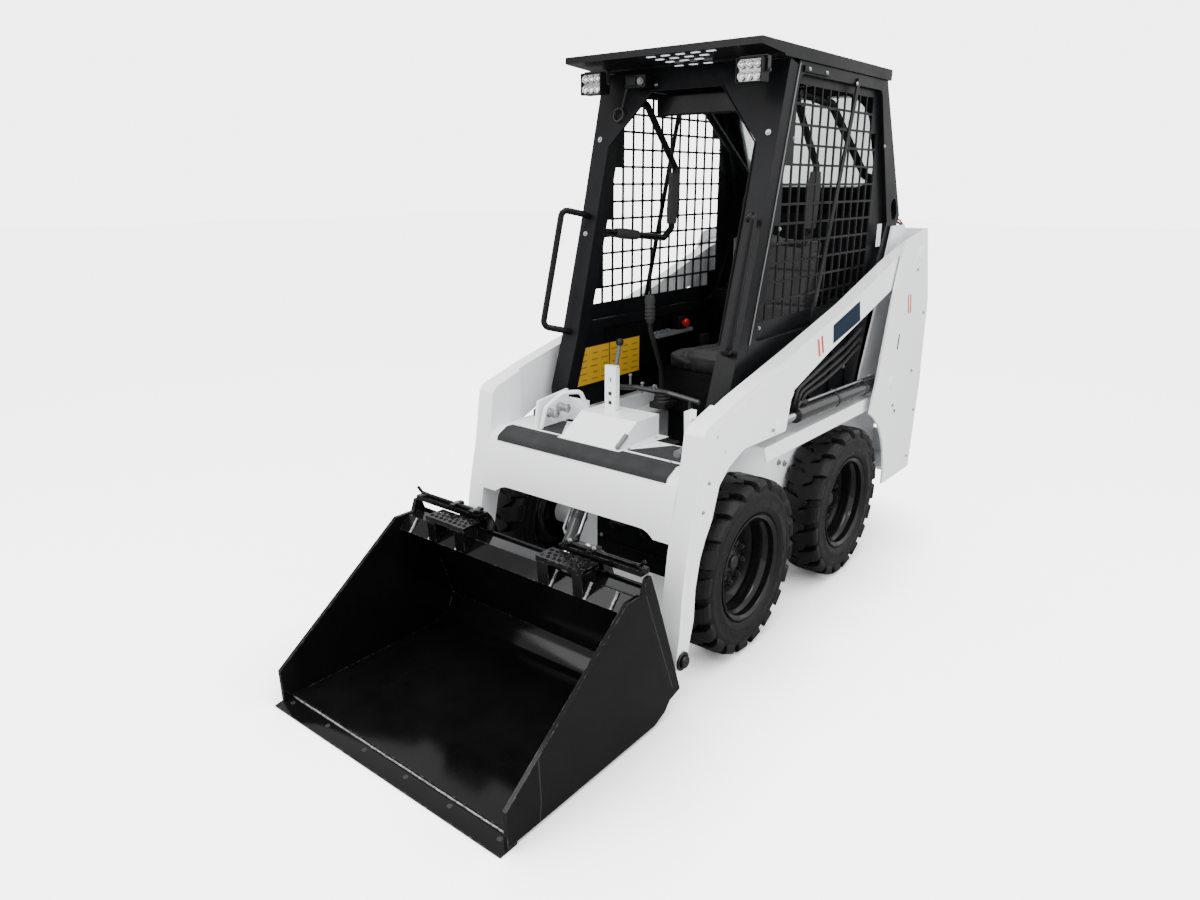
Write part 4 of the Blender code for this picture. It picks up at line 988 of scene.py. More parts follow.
def makeFrontFrameTrim():
    lean = Vector((0.968, 0, 0.251))
    bm = bmesh.new()
    for y, z in ((0.314, 1.575), (0.312, 1.300), (-0.316, 1.572), (-0.316, 1.268), (-0.120, 1.735), (0.180, 1.735)):
        face = Vector((postFront(z), y, z))
        addRod(bm, face + lean * 0.0003, face + lean * 0.0020, 0.0085, 20)
        addRod(bm, face + lean * 0.0020, face + lean * 0.0062, 0.0064, 20, 0.0035)
    finishPiece("frontFrameBolts", bm, "zincBolt", "chassis")
    # roll-edge strips along the gussets and posts inside the door opening
    for side in (1, -1):
        bm = bmesh.new()
        corners = []
        for y, z in ((0.2765, 0.965), (0.2765, 1.548), (0.1300, 1.7165), (0.0, 1.7165)):
            corners.append((postFront(z) + 0.0016, side * y, z))
        addTube(bm, softPath(corners, 0.006, 3), 0.0028, 8)
        finishPiece(f"{sideName(side)}DoorwayBead", bm, "cabBlack", "chassis")
    # small sensor box and its cable under the visor
    bm = bmesh.new()
    addBox(bm, (-0.088, -0.205, 1.722), (-0.048, -0.125, 1.764))
    addBox(bm, (-0.052, -0.196, 1.728), (-0.044, -0.160, 1.758))
    finishPiece("visorUnit", bm, "cabBlack", "chassis", bevel=0.004, segments=3)
    bm = bmesh.new()
    addRod(bm, (-0.050, -0.142, 1.742), (-0.040, -0.142, 1.742), 0.011, 24)
    addRod(bm, (-0.040, -0.142, 1.742), (-0.036, -0.142, 1.742), 0.007, 24)
    finishPiece("visorUnitKnob", bm, "greyPlastic", "chassis", bevel=0.001)
    bm = bmesh.new()
    loop = []
    for step in range(23):
        turn = math.pi * 2 * step / 18 + 1.2
        z = 1.648 + 0.020 * math.sin(turn)
        loop.append((postFront(z) + 0.0060 + 0.0003 * step, -0.247 + 0.020 * math.cos(turn), z))
    line = [(-0.066, -0.205, 1.735), (-0.072, -0.222, 1.712), (-0.078, -0.232, 1.690)]
    addTube(bm, softPath(line, 0.004) + [Vector(p) for p in loop], 0.0032, 8)
    finishPiece("visorCable", bm, "hoseRubber", "chassis")


def makeLamps():
    lamp = {"middle": 0.287, "halfY": 0.042, "low": 1.704, "high": 1.770, "back": -0.030, "front": 0.030}
    for side in (1, -1):
        name = sideName(side)
        lowY, highY = side * lamp["middle"] - lamp["halfY"], side * lamp["middle"] + lamp["halfY"]
        middleZ = (lamp["low"] + lamp["high"]) / 2
        bm = bmesh.new()
        addBox(bm, (lamp["back"] + 0.012, lowY + 0.001, lamp["low"] + 0.001),
               (0.018, highY - 0.001, lamp["high"] - 0.001))
        for fin in range(7):
            y = lowY + 0.009 + fin * 0.011
            addBox(bm, (lamp["back"], y - 0.0016, lamp["low"] + 0.006),
                   (lamp["back"] + 0.0135, y + 0.0016, lamp["high"] - 0.006))
        finishPiece(f"{name}LampHousing", bm, "cabBlack", "chassis", [f"{name}_work_light"], bevel=0.0025, segments=3)
        outline = [(lowY + 0.0005, lamp["low"]), (highY - 0.0005, lamp["low"]), (highY - 0.0005, lamp["high"]),
                   (lowY + 0.0005, lamp["high"])]
        inner = [(lowY + 0.0045, lamp["low"] + 0.0035), (highY - 0.0045, lamp["low"] + 0.0035),
                 (highY - 0.0045, lamp["high"] - 0.0035), (lowY + 0.0045, lamp["high"] - 0.0035)]
        bm = plateWithHoles(outline, [inner], 0.0165, 0.0290, "X")
        finishPiece(f"{name}LampBezel", bm, "cabBlack", "chassis", bevel=0.0012)
        bm = bmesh.new()
        addBox(bm, (0.0182, lowY + 0.0050, lamp["low"] + 0.0040), (0.0200, highY - 0.0050, lamp["high"] - 0.0040))
        finishPiece(f"{name}LampBack", bm, "lampBack", "chassis")
        bm = bmesh.new()
        for column in (-1, 0, 1):
            for row in (-1, 1):
                centre = (0.0200, side * lamp["middle"] + column * 0.0245, middleZ + row * 0.0152)
                cup = [(0.0045, 0.0003), (0.0075, 0.0010), (0.0098, 0.0035), (0.0110, 0.0065), (0.0118, 0.0068),
                       (0.0119, 0.0002)]
                addTurned(bm, cup, centre, (1, 0, 0), 20)
                addTurned(bm, [(0.0, 0.0045), (0.0020, 0.0040), (0.0034, 0.0022), (0.0036, 0.0002), (0.0, 0.0002)],
                          centre, (1, 0, 0), 14)
        finishPiece(f"{name}LampLens", bm, "lampLens", "chassis")
        bm = bmesh.new()
        bracketY = lamp["halfY"] + 0.0035
        corners = [(-0.006, side * lamp["middle"] - bracketY, middleZ),
                   (-0.006, side * lamp["middle"] - bracketY, 1.7755),
                   (-0.006, side * lamp["middle"] + bracketY, 1.7755),
                   (-0.006, side * lamp["middle"] + bracketY, middleZ)]
        for start, end in zip(corners, corners[1:]):
            low = [min(a, b) - c for a, b, c in zip(start, end, (0.009, 0.0015, 0.0015))]
            high = [max(a, b) + c for a, b, c in zip(start, end, (0.009, 0.0015, 0.0015))]
            addBox(bm, low, high)
        for end in (-1, 1):
            y = side * lamp["middle"] + end * bracketY
            addBolt(bm, (-0.006, y + end * 0.0015, middleZ), (0, end, 0), 0.010, True, 0.0040)
        finishPiece(f"{name}LampBracket", bm, "blackBolt", "chassis", bevel=0.0006)


def makeCabInside():
    # labels, header box, arm pads, levers, foot rest, dashboard pieces
    bm = bmesh.new()
    for low, high in ((1.640, 1.712),):
        x = postFront(1.70) - 0.075
        addPrism(bm, [(x - 0.12, low + 0.050), (x, low), (x, high), (x - 0.12, high)], -0.165, 0.150)
    finishPiece("headerBox", bm, "cabBlack", "chassis", bevel=0.010, segments=3)
    bm = bmesh.new()
    addPrism(bm, [(-0.178, 1.655), (-0.1675, 1.655), (-0.1665, 1.684), (-0.178, 1.684)], -0.150, 0.120)
    finishPiece("headerBar", bm, "greyPlastic", "chassis", bevel=0.003, segments=3)
    bm = bmesh.new()
    # blank triangle label on the rear wall
    centreY, centreZ = -0.277, 1.512
    low = []
    high = []
    for dy, dz in ((-0.036, -0.034), (0.036, -0.034), (0.0, 0.042)):
        z = centreZ + dz
        x = -1.098 + 0.236 * (z - 1.312) / 0.466
        low.append(bm.verts.new((x + 0.0004, centreY + dy, z)))
        high.append(bm.verts.new((x + 0.0016, centreY + dy, z - 0.0004)))
    bm.faces.new(low)
    bm.faces.new(high)
    for index in range(3):
        after = (index + 1) % 3
        bm.faces.new((low[index], low[after], high[after], high[index]))
    finishPiece("triangleLabel", bm, "labelYellow", "chassis")
    # blank yellow labels on the far inner panel
    bm = bmesh.new()
    y = -0.3045
    for left, right, low, high in ((-0.281, -0.100, 0.745, 0.878), (-0.094, 0.086, 0.745, 0.878)):
        slant = 0.0
        addPrism(bm, [(left, low), (right, low), (right + slant, high), (left + slant, high)], y, y + 0.0010)
    finishPiece("innerLabels", bm, "labelYellow", "chassis", bevel=0.0002)
    bm = bmesh.new()
    for index in range(6):
        x = -0.268 + 0.060 * index
        for line in range(5):
            z = 0.760 + 0.023 * line
            addBox(bm, (x, y + 0.0010, z), (x + 0.040 - 0.006 * ((line + index) % 3), y + 0.0012, z + 0.0036))
    finishPiece("innerLabelMarks", bm, "labelLine", "chassis")
    # arm pad on each fixed rail, and the grip near its front end
    for side in (1, -1):
        name = sideName(side)
        bm = bmesh.new()
        y = side * 0.283
        pad = [(-0.462, y, 1.470), (-0.459, y, 1.410), (-0.452, y, 1.340), (-0.449, y, 1.285)]
        addRings(bm, [Vector(p) for p in pad], [0.018, 0.0215, 0.0215, 0.018], [Vector((1, 0, 0))] * 4,
                 [Vector((0, 1, 0))] * 4, 20)
        finishPiece(f"{name}RailPad", bm, "gripFoam", "chassis", bevel=0.004, segments=3)
        bm = bmesh.new()
        grip = [(-0.230, y, 1.2540), (-0.190, y, 1.2578), (-0.140, y, 1.2630), (-0.100, y, 1.2672)]
        _, across, other = framed(Vector(grip[-1]) - Vector(grip[0]))
        addRings(bm, [Vector(p) for p in grip], [0.0165, 0.0185, 0.0185, 0.0160], [across] * 4, [other] * 4, 20)
        finishPiece(f"{name}RailGrip", bm, "gripFoam", "chassis", bevel=0.003, segments=3)
    # control levers with knobs
    levers = {"leftStick": (0.170, 0.96), "rightStick": (-0.170, 0.96)}
    for name, (y, top) in levers.items():
        bm = bmesh.new()
        path = softPath([(-0.250, y, 0.640), (-0.235, y, 0.780), (-0.165, y, top - 0.03), (-0.160, y, top)], 0.03)
        addTube(bm, path, 0.0085, 12)
        addBox(bm, (-0.300, y - 0.035, 0.6255), (-0.215, y + 0.035, 0.648))
        finishPiece(name, bm, "blackBolt", "chassis", bevel=0.0015)
        bm = bmesh.new()
        addTurned(bm, [(0.0, -0.045), (0.014, -0.043), (0.017, -0.020), (0.0155, 0.010), (0.019, 0.035),
                       (0.016, 0.052), (0.0, 0.056)],
                  (-0.160, y, top + 0.040), (0.05, 0, 1), 24)
        for finger in range(4):
            z = top + 0.012 + finger * 0.013
            addTurned(bm, [(0.0150, -0.0045), (0.0188, -0.002), (0.0188, 0.002), (0.0150, 0.0045)], (-0.160, y, z),
                      (0, 0, 1), 20)
        finishPiece(name + "Grip", bm, "gripFoam", "chassis")
        bm = bmesh.new()
        addTurned(bm, [(0.012, 0.0), (0.034, 0.0), (0.036, 0.006), (0.030, 0.012), (0.032, 0.018), (0.025, 0.024),
                       (0.026, 0.030), (0.018, 0.036), (0.012, 0.038)], (-0.2495, y, 0.646), (0.05, 0, 1), 28)
        finishPiece(name + "Boot", bm, "hoseRubber", "chassis")
    # slanted grey lever with a ball, red knob piece and small switches on the far panel
    bm = bmesh.new()
    addTube(bm, softPath([(-0.020, -0.215, 0.6), (0.010, -0.215, 0.700), (-0.050, -0.222, 0.885)], 0.05), 0.0075, 12)
    finishPiece("parkLever", bm, "greyPlastic", "chassis")
    bm = bmesh.new()
    addTurned(bm, [(0.0, -0.014), (0.010, -0.011), (0.0145, -0.002), (0.0130, 0.008), (0.006, 0.014), (0.0, 0.015)],
              (-0.0515, -0.222, 0.895), (-0.2, 0, 1), 24)
    finishPiece("parkLeverKnob", bm, "hoseRubber", "chassis")
    bm = bmesh.new()
    addBox(bm, (-0.560, -0.300, 0.8752), (-0.500, -0.268, 0.925))
    finishPiece("sideConsoleBox", bm, "cabBlack", "chassis", bevel=0.006, segments=3)
    bm = bmesh.new()
    addTurned(bm, [(0.0, 0.0003), (0.0120, 0.0003), (0.0120, 0.006), (0.0165, 0.009), (0.0165, 0.017),
                   (0.0130, 0.021), (0.0, 0.022)],
              (-0.530, -0.268, 0.902), (0, 1, 0), 28)
    finishPiece("batterySwitch", bm, "tailRed", "chassis")
    bm = bmesh.new()
    addBox(bm, (-0.600, -0.3045, 0.860), (-0.350, -0.266, 0.875))
    addBox(bm, (-0.600, 0.266, 0.860), (-0.350, 0.3045, 0.875))
    for index in range(4):
        x = -0.45 + index * 0.035
        addBox(bm, (x - 0.010, -0.297, 0.875), (x + 0.010, -0.277, 0.884))
    finishPiece("sideConsoles", bm, "greyPlastic", "chassis", bevel=0.0025, segments=2)
    bm = bmesh.new()
    addBox(bm, (0.050, -0.110, 0.6125), (0.094, 0.110, 0.6175))
    addTube(bm, softPath([(0.050, -0.180, 0.760), (0.060, -0.070, 0.775), (0.060, 0.070, 0.775),
                          (0.050, 0.180, 0.760)], 0.05), 0.009, 12)
    for y in (-0.150, 0.150):
        addTube(bm, [(0.055, y, 0.764), (0.062, y, 0.600)], 0.008, 10)
    finishPiece("footRest", bm, "cylinderBlack", "chassis", bevel=0.001)
    bm = bmesh.new()
    for x, y, z in ((0.020, -0.120, 0.800), (0.060, -0.040, 0.790), (0.062, 0.010, 0.788)):
        addRod(bm, (x, y, z - 0.030), (x, y, z), 0.004, 10)
        addTurned(bm, [(0.0, -0.006), (0.005, -0.004), (0.0065, 0.0), (0.005, 0.004), (0.0, 0.006)],
                  (x, y, z + 0.003), (0, 0, 1), 16)
    finishPiece("linkageKnobs", bm, "greyPlastic", "chassis")
    bm = bmesh.new()
    for x in (0.0, -0.10, -0.20, -0.29):
        addBox(bm, (x - 0.006, -0.180, 0.4303), (x + 0.006, 0.180, 0.4340))
    finishPiece("floorRibs", bm, "gritPad", "chassis", bevel=0.001)
    # rear window seal
    half, low, high = 0.272, 1.415, 1.738
    bm = bmesh.new()
    ring = []
    for cy, cz, start in ((half - 0.085, high - 0.085, 0), (-half + 0.085, high - 0.085, 90),
                          (-half + 0.085, low + 0.085, 180), (half - 0.085, low + 0.085, 270)):
        for step in range(7):
            angle = math.radians(start + 15 * step)
            y, z = cy + 0.085 * math.cos(angle), cz + 0.085 * math.sin(angle)
            ring.append(Vector((-1.098 + 0.236 * (z - 1.312) / 0.466 + 0.003, y, z)))
    ring.append(ring[0].copy())
    addTube(bm, ring, 0.0065, 8)
    finishPiece("rearWindowSeal", bm, "hoseRubber", "chassis")


makeScreens()
makeSidePanels()
makeRoof()
makeFrontFrameTrim()
makeLamps()
makeCabInside()
print("cab made")


# seat
seat = {
    "voxel": 0.005, "pressure": 4.0, "cap": 0.012, "frames": 20, "fill": 0.8,
    "cushionHalf": 0.200, "backHalf": 0.190,
    # side outlines as x and height
    "cushion": [(-0.726, 0.768), (-0.330, 0.768), (-0.322, 0.822), (-0.726, 0.797)],
    "back": [(-0.738, 0.826), (-0.686, 0.830), (-0.744, 1.232), (-0.784, 1.226)],
    # sewn channels: axis, place, width, depth, direction pressed
    "cushionSeams": [(1, 0.125, 0.010, 0.005, (0, 0, -1)), (1, -0.125, 0.010, 0.005, (0, 0, -1)),
                     (0, -0.46, 0.010, 0.005, (0, 0, -1)), (0, -0.60, 0.010, 0.005, (0, 0, -1))],
    "backSeams": [(1, 0.120, 0.010, 0.004, (-1, 0, 0)), (1, -0.120, 0.010, 0.004, (-1, 0, 0)),
                  (2, 0.98, 0.010, 0.004, (-1, 0, 0)), (2, 1.11, 0.010, 0.004, (-1, 0, 0))],
}


def puffPad(name, outline, halfWidth, node, grooves):
    # A pad swollen by cloth pressure from a slim block, then grooved along its sewn channels.
    bm = bmesh.new()
    addPrism(bm, outline, -halfWidth, halfWidth)
    bmesh.ops.recalc_face_normals(bm, faces=bm.faces)
    bmesh.ops.subdivide_edges(bm, edges=bm.edges, cuts=2, use_grid_fill=True)
    mesh = bpy.data.meshes.new(name)
    bm.to_mesh(mesh)
    bm.free()
    pad = bpy.data.objects.new(name, mesh)
    bpy.context.scene.collection.objects.link(pad)
    soften = pad.modifiers.new("round", "BEVEL")
    soften.width, soften.segments, soften.limit_method = 0.012, 3, "ANGLE"
    grid = pad.modifiers.new("remesh", "REMESH")
    grid.mode, grid.voxel_size = "VOXEL", seat["voxel"]
    mesh = bpy.data.meshes.new_from_object(pad.evaluated_get(bpy.context.evaluated_depsgraph_get()))
    pad.modifiers.clear()
    pad.data = mesh
    rest = [vert.co.copy() for vert in mesh.vertices]
    cloth = pad.modifiers.new("swell", "CLOTH")
    cloth.settings.use_pressure = True
    cloth.settings.uniform_pressure_force = seat["pressure"]
    cloth.settings.effector_weights.gravity = 0.0
    cloth.settings.quality = 4
    scene = bpy.context.scene
    for step in range(1, seat["frames"] + 1):
        scene.frame_set(step)
    swollen = bpy.data.meshes.new_from_object(pad.evaluated_get(bpy.context.evaluated_depsgraph_get()))
    pad.modifiers.clear()
    pad.data = swollen
    for vert, before in zip(swollen.vertices, rest):
        move = vert.co - before
        if move.length > seat["cap"]:
            vert.co = before + move.normalized() * seat["cap"]
    scene.frame_set(1)
    for vert in pad.data.vertices:
        for axis, place, width, depth, inward in grooves:
            away = abs(vert.co[axis] - place)
            if away < width:
                vert.co += Vector(inward) * depth * (0.5 + 0.5 * math.cos(math.pi * away / width))
    pad.data.shade_smooth()
    smooth = pad.modifiers.new("smooth", "SUBSURF")
    smooth.levels = smooth.render_levels = 1
    pad.data.materials.clear()
    pad.data.materials.append(finishes["seatVinyl"][0])
    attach(pad, "chassis")
    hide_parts(node)
    return pad


def makeSeat():
    puffPad("seatCushion", seat["cushion"], seat["cushionHalf"], "seat_cushion", seat["cushionSeams"])
    puffPad("seatBackrest", seat["back"], seat["backHalf"], "seat_back", seat["backSeams"])
    bm = bmesh.new()
    for y in (-0.205, 0.205):
        addTube(bm, softPath([(-0.72, y * 1.02, 0.7635), (-0.36, y * 1.02, 0.7635)], 0.01), 0.003, 8)
    for y in (-0.222, 0.222):
        addBox(bm, (-0.640, y - 0.006, 0.7615), (-0.600, y + 0.006, 0.820))
        addBox(bm, (-0.646, y - 0.009, 0.815), (-0.594, y + 0.009, 0.850))
    finishPiece("seatBuckles", bm, "blackBolt", "chassis", bevel=0.0015)


makeSeat()
print("seat made")


# deck between the arms, with its cover, pads, post and couplers
deck = {"top": 0.668, "half": 0.334, "padThick": 0.0026, "coverHalf": 0.107, "coverSkin": 0.0036, "flange": 0.0022}


def makeDeck():
    cutter = bmesh.new()
    addRod(cutter, (0.391, 0.340, 0.802), (0.391, 0.390, 0.802), 0.0115, 28)
    addPrism(cutter, slotShape((-0.044, 0.834), 0.017, 0.0085, math.pi / 2), 0.20, 0.25, "X")
    carveNode("deckPlate", "cross_member", cutter, "bodyWhite", "boom")
    top = deck["top"]
    # front pad follows the plate over its bend
    line = [(0.4575, 0.6330), (0.4530, 0.6452), (0.4475, 0.6500), (0.4110, 0.6684), (0.4040, 0.6684)]
    bm = bmesh.new()
    outer = []
    for index, point in enumerate(line):
        before, after = Vector(line[max(0, index - 1)]), Vector(line[min(len(line) - 1, index + 1)])
        along = (after - before).normalized()
        outer.append(Vector(point) + Vector((-along.y, along.x)) * -deck["padThick"])
    addPrism(bm, [tuple(p) for p in outer] + list(reversed(line)), -deck["half"], deck["half"])
    for side in (1, -1):
        addPrism(bm, [(0.386, side * 0.126), (0.4045, side * 0.126), (0.4045, side * 0.333), (0.386, side * 0.333)],
                 top + 0.0003, top + deck["padThick"], "Z")
    finishPiece("frontPad", bm, "gritPad", "boom", bevel=0.0008)
    for side in (1, -1):
        bm = bmesh.new()
        corners = [(0.368, side * 0.132), (0.368, side * 0.352), (0.246, side * 0.352), (0.246, side * 0.215)]
        if side > 0:
            corners[1:3] = [(0.368, 0.333), (0.246, 0.333)]
        else:
            corners[1:3] = [(0.368, -0.2305), (0.246, -0.2305)]
        addPrism(bm, corners, top + 0.0003, top + deck["padThick"], "Z")
        finishPiece(f"{sideName(side)}Pad", bm, "gritPad", "boom", bevel=0.0008)
    bm = bmesh.new()
    addPrism(bm, [(0.176, -0.121), (0.403, -0.121), (0.403, 0.121), (0.176, 0.150)], top + 0.0003,
             top + deck["flange"], "Z")
    finishPiece("coverFlange", bm, "bodyWhite", "boom", bevel=0.0006)
    skin = deck["coverSkin"]
    solid = bmesh.new()
    addPrism(solid, [(0.3975, top + 0.0024), (0.2945, 0.733 + skin), (0.176, 0.733 + skin), (0.176, top + 0.0024)],
             -deck["coverHalf"] - skin, deck["coverHalf"] + skin)
    # opening for the hose at the near front corner, with a round top
    cutter = bmesh.new()
    line = [(0.398, deck["coverHalf"] + 0.002, 0.660), (0.372, deck["coverHalf"] + 0.002, 0.679),
            (0.337, deck["coverHalf"] + 0.002, 0.703)]
    addTube(cutter, line, 0.0090, 20)
    finishPiece("deckCover", carvedMesh(solid, cutter), "bodyWhite", "boom", bevel=0.0065, segments=3, angle=24)
    bm = bmesh.new()
    addTube(bm, [(0.388, deck["coverHalf"] - 0.002, 0.674), (0.368, deck["coverHalf"] - 0.002, 0.686),
                 (0.340, deck["coverHalf"] - 0.002, 0.704)], 0.0078, 16)
    finishPiece("coverSlotLiner", bm, "greyPlastic", "boom")
    # post: side lips and a folded top
    bm = bmesh.new()
    for low, high in (((0.2098, -0.0660, 0.738), (0.2216, -0.0634, 0.874)),
                      ((0.2098, -0.0246, 0.738), (0.2216, -0.0220, 0.874)),
                      ((0.2098, -0.0640, 0.8762), (0.2310, -0.0240, 0.8798))):
        addBox(bm, low, high)
    finishPiece("postLips", bm, "bodyWhite", "boom", bevel=0.001)
    bm = bmesh.new()
    for y in (-0.054, -0.034):
        addRod(bm, (0.2205, y, 0.8798), (0.2205, y, 0.8806), 0.0034, 14)
    for z in (0.760, 0.790):
        addBolt(bm, (0.2305, -0.044, z), (1, 0, 0), 0.009, True)
    finishPiece("postBolts", bm, "blackBolt", "boom")
    # stowed lock pin on the near pad
    bm = bmesh.new()
    start, end = Vector((0.205, 0.262, 0.6805)), Vector((0.338, 0.290, 0.6805))
    addRod(bm, start, end, 0.0092, 20)
    addRod(bm, end - (end - start).normalized() * 0.004, end + (end - start).normalized() * 0.004, 0.0118, 20)
    addTube(bm, [(0.215, 0.264, 0.690), (0.218, 0.268, 0.704), (0.236, 0.272, 0.706), (0.240, 0.270, 0.690)], 0.0022,
            8)
    finishPiece("stowedPin", bm, "greyPlastic", "boom", bevel=0.0012)
    bm = bmesh.new()
    for x, y in ((0.420, 0.300), (0.420, -0.300)):
        addBolt(bm, (0.389, y, top + 0.0003), (0, 0, 1), 0.010, True)
    for x in (0.215, 0.360):
        for side in (1, -1):
            addBolt(bm, (x, side * 0.1145 if side < 0 else 0.1290, top + deck["flange"]), (0, 0, 1), 0.007, True)
    finishPiece("deckBolts", bm, "zincBolt", "boom")
    # couplers and their hoses on the far plate
    bm = bmesh.new()
    for x, z in ((0.262, 0.722), (0.318, 0.714)):
        addTurned(bm, [(0.0, -0.001), (0.0150, -0.001), (0.0150, 0.010), (0.0125, 0.012), (0.0125, 0.028),
                       (0.0142, 0.030),
                       (0.0142, 0.040), (0.0100, 0.042), (0.0095, 0.036), (0.0, 0.036)], (x, -0.2345, z), (0, 1, 0),
                       24)
        addRod(bm, (x, -0.2455, z), (x, -0.2560, z), 0.0125, 6)
    finishPiece("couplers", bm, "steelBar", "boom", bevel=0.0006)
    bm = bmesh.new()
    for x, z in ((0.262, 0.722), (0.318, 0.714)):
        path = softPath([(x, -0.254, z), (x, -0.292, z), (x - 0.012, -0.302, 0.690), (x - 0.050, -0.300, 0.676)],
                        0.018)
        addTube(bm, path, 0.0078, 12, 0.04)
    finishPiece("couplerHoses", bm, "hoseRubber", "boom")
    bm = bmesh.new()
    addTube(bm, softPath([(0.222, -0.158, 0.7455), (0.240, -0.160, 0.7800), (0.300, -0.185, 0.7850),
                          (0.350, -0.215, 0.7400),
                          (0.362, -0.226, 0.6690)], 0.022), 0.0070, 12)
    finishPiece("couplerGuard", bm, "bodyWhite", "boom")


# arms: pins, plates, holes and lines
arm = {
    "outerY": 0.435, "pivot": (-1.106, 1.172), "liftEye": (0.006, 0.714), "couplerPin": (0.505, 0.130),
    "foldBead": 0.0016,   # raised line where the arm's plate is bent, as x and height
    "fold": [(-0.060, 0.896), (0.066, 0.880), (0.368, 0.790), (0.404, 0.762), (0.424, 0.700), (0.462, 0.500),
             (0.490, 0.300), (0.500, 0.215)],
}


def makeArms():
    for side in (1, -1):
        name = sideName(side)
        y = side * arm["outerY"]
        cutter = bmesh.new()
        for x, z, radius in ((0.358, 0.765, 0.0068), (0.310, 0.709, 0.0062)):
            addRod(cutter, (x, side * 0.424, z), (x, side * 0.445, z), radius, 24)
        carveNode(f"{name}ArmBeam", f"{name}_arm", cutter, "bodyWhite", "boom")
        bm = bmesh.new()
        for (x, z), radius in ((arm["liftEye"], 0.021),):
            addTurned(bm, [(0.0, 0.0003), (radius, 0.0003), (radius, 0.0055), (radius - 0.003, 0.0080),
                           (0.008, 0.0082), (0.0, 0.0070)],
                      (x, y, z), (0, side, 0), 32)
            addBox(bm, (x + 0.012, min(y, y + side * 0.006), z - 0.008),
                   (x + 0.046, max(y + side * 0.0003, y + side * 0.0052), z + 0.008))
        finishPiece(f"{name}ArmPinCap", bm, "bodyWhite", "boom", bevel=0.001)
        bm = bmesh.new()
        x, z = arm["liftEye"]
        addBolt(bm, (x + 0.036, y + side * 0.0053, z), (0, side, 0), 0.010, True, 0.0050)
        for bx, bz in ((0.396, 0.640), (0.422, 0.560)):
            addBolt(bm, (bx, y + side * 0.0003, bz), (0, side, 0), 0.008, True, 0.0040)
        finishPiece(f"{name}ArmBolts", bm, "zincBolt", "boom")
        bm = bmesh.new()
        x, z = arm["couplerPin"]
        addTurned(bm, [(0.0205, 0.0004), (0.0285, 0.0004), (0.0285, 0.0050), (0.0270, 0.0062), (0.0205, 0.0062)],
                  (x, y, z), (0, side, 0), 32)
        finishPiece(f"{name}FootCollar", bm, "blackBolt", "boom")
        bm = bmesh.new()
        addTurned(bm, [(0.0, -0.0002), (0.0178, 0.0003), (0.0170, 0.0040), (0.010, 0.0052), (0.0, 0.0040)],
                  (x, side * 0.4472, z), (0, side, 0), 28)
        addRod(bm, (x, side * 0.4470, z), (x, side * 0.4545, z), 0.0040, 10, 0.0026)
        finishPiece(f"{name}FootPinEnd", bm, "blackBolt", "bucket")
        # blank plate and a plain stripe on the beam
        bm = bmesh.new()
        low, high = sorted((y + side * 0.0003, y + side * 0.0012))
        addPrism(bm, [(-0.369, 0.920), (-0.358, 0.983), (-0.566, 1.042), (-0.584, 0.972)], low, high)
        finishPiece(f"{name}ArmPlate", bm, "labelNavy", "boom", bevel=0.0003)
        bm = bmesh.new()
        for shift in (0.0, 0.026):
            addPrism(bm, [(-0.300 + shift, 0.902 - shift * 0.27), (-0.288 + shift, 0.899 - shift * 0.27),
                          (-0.268 + shift, 0.958 - shift * 0.27), (-0.280 + shift, 0.961 - shift * 0.27)], low, high)
        finishPiece(f"{name}ArmStripe", bm, "labelOrange", "boom", bevel=0.0002)
        # welded seams where the knee plates meet the beam
        bm = bmesh.new()
        seam = [(-0.098, y + side * 0.0002, 0.806), (-0.080, y + side * 0.0002, 0.783),
                (-0.060, y + side * 0.0002, 0.692)]
        addTube(bm, softPath([(p[0] + 0.004, p[1], p[2]) for p in seam], 0.010), 0.0022, 8, 0.15)
        finishPiece(f"{name}ArmSeam", bm, "bodyWhite", "boom")
        bm = bmesh.new()
        addTube(bm, softPath([(fx, y + side * 0.0001, fz) for fx, fz in arm["fold"]], 0.020), arm["foldBead"], 8)
        finishPiece(f"{name}ArmFold", bm, "bodyWhite", "boom")
        makeLiftLine(side)


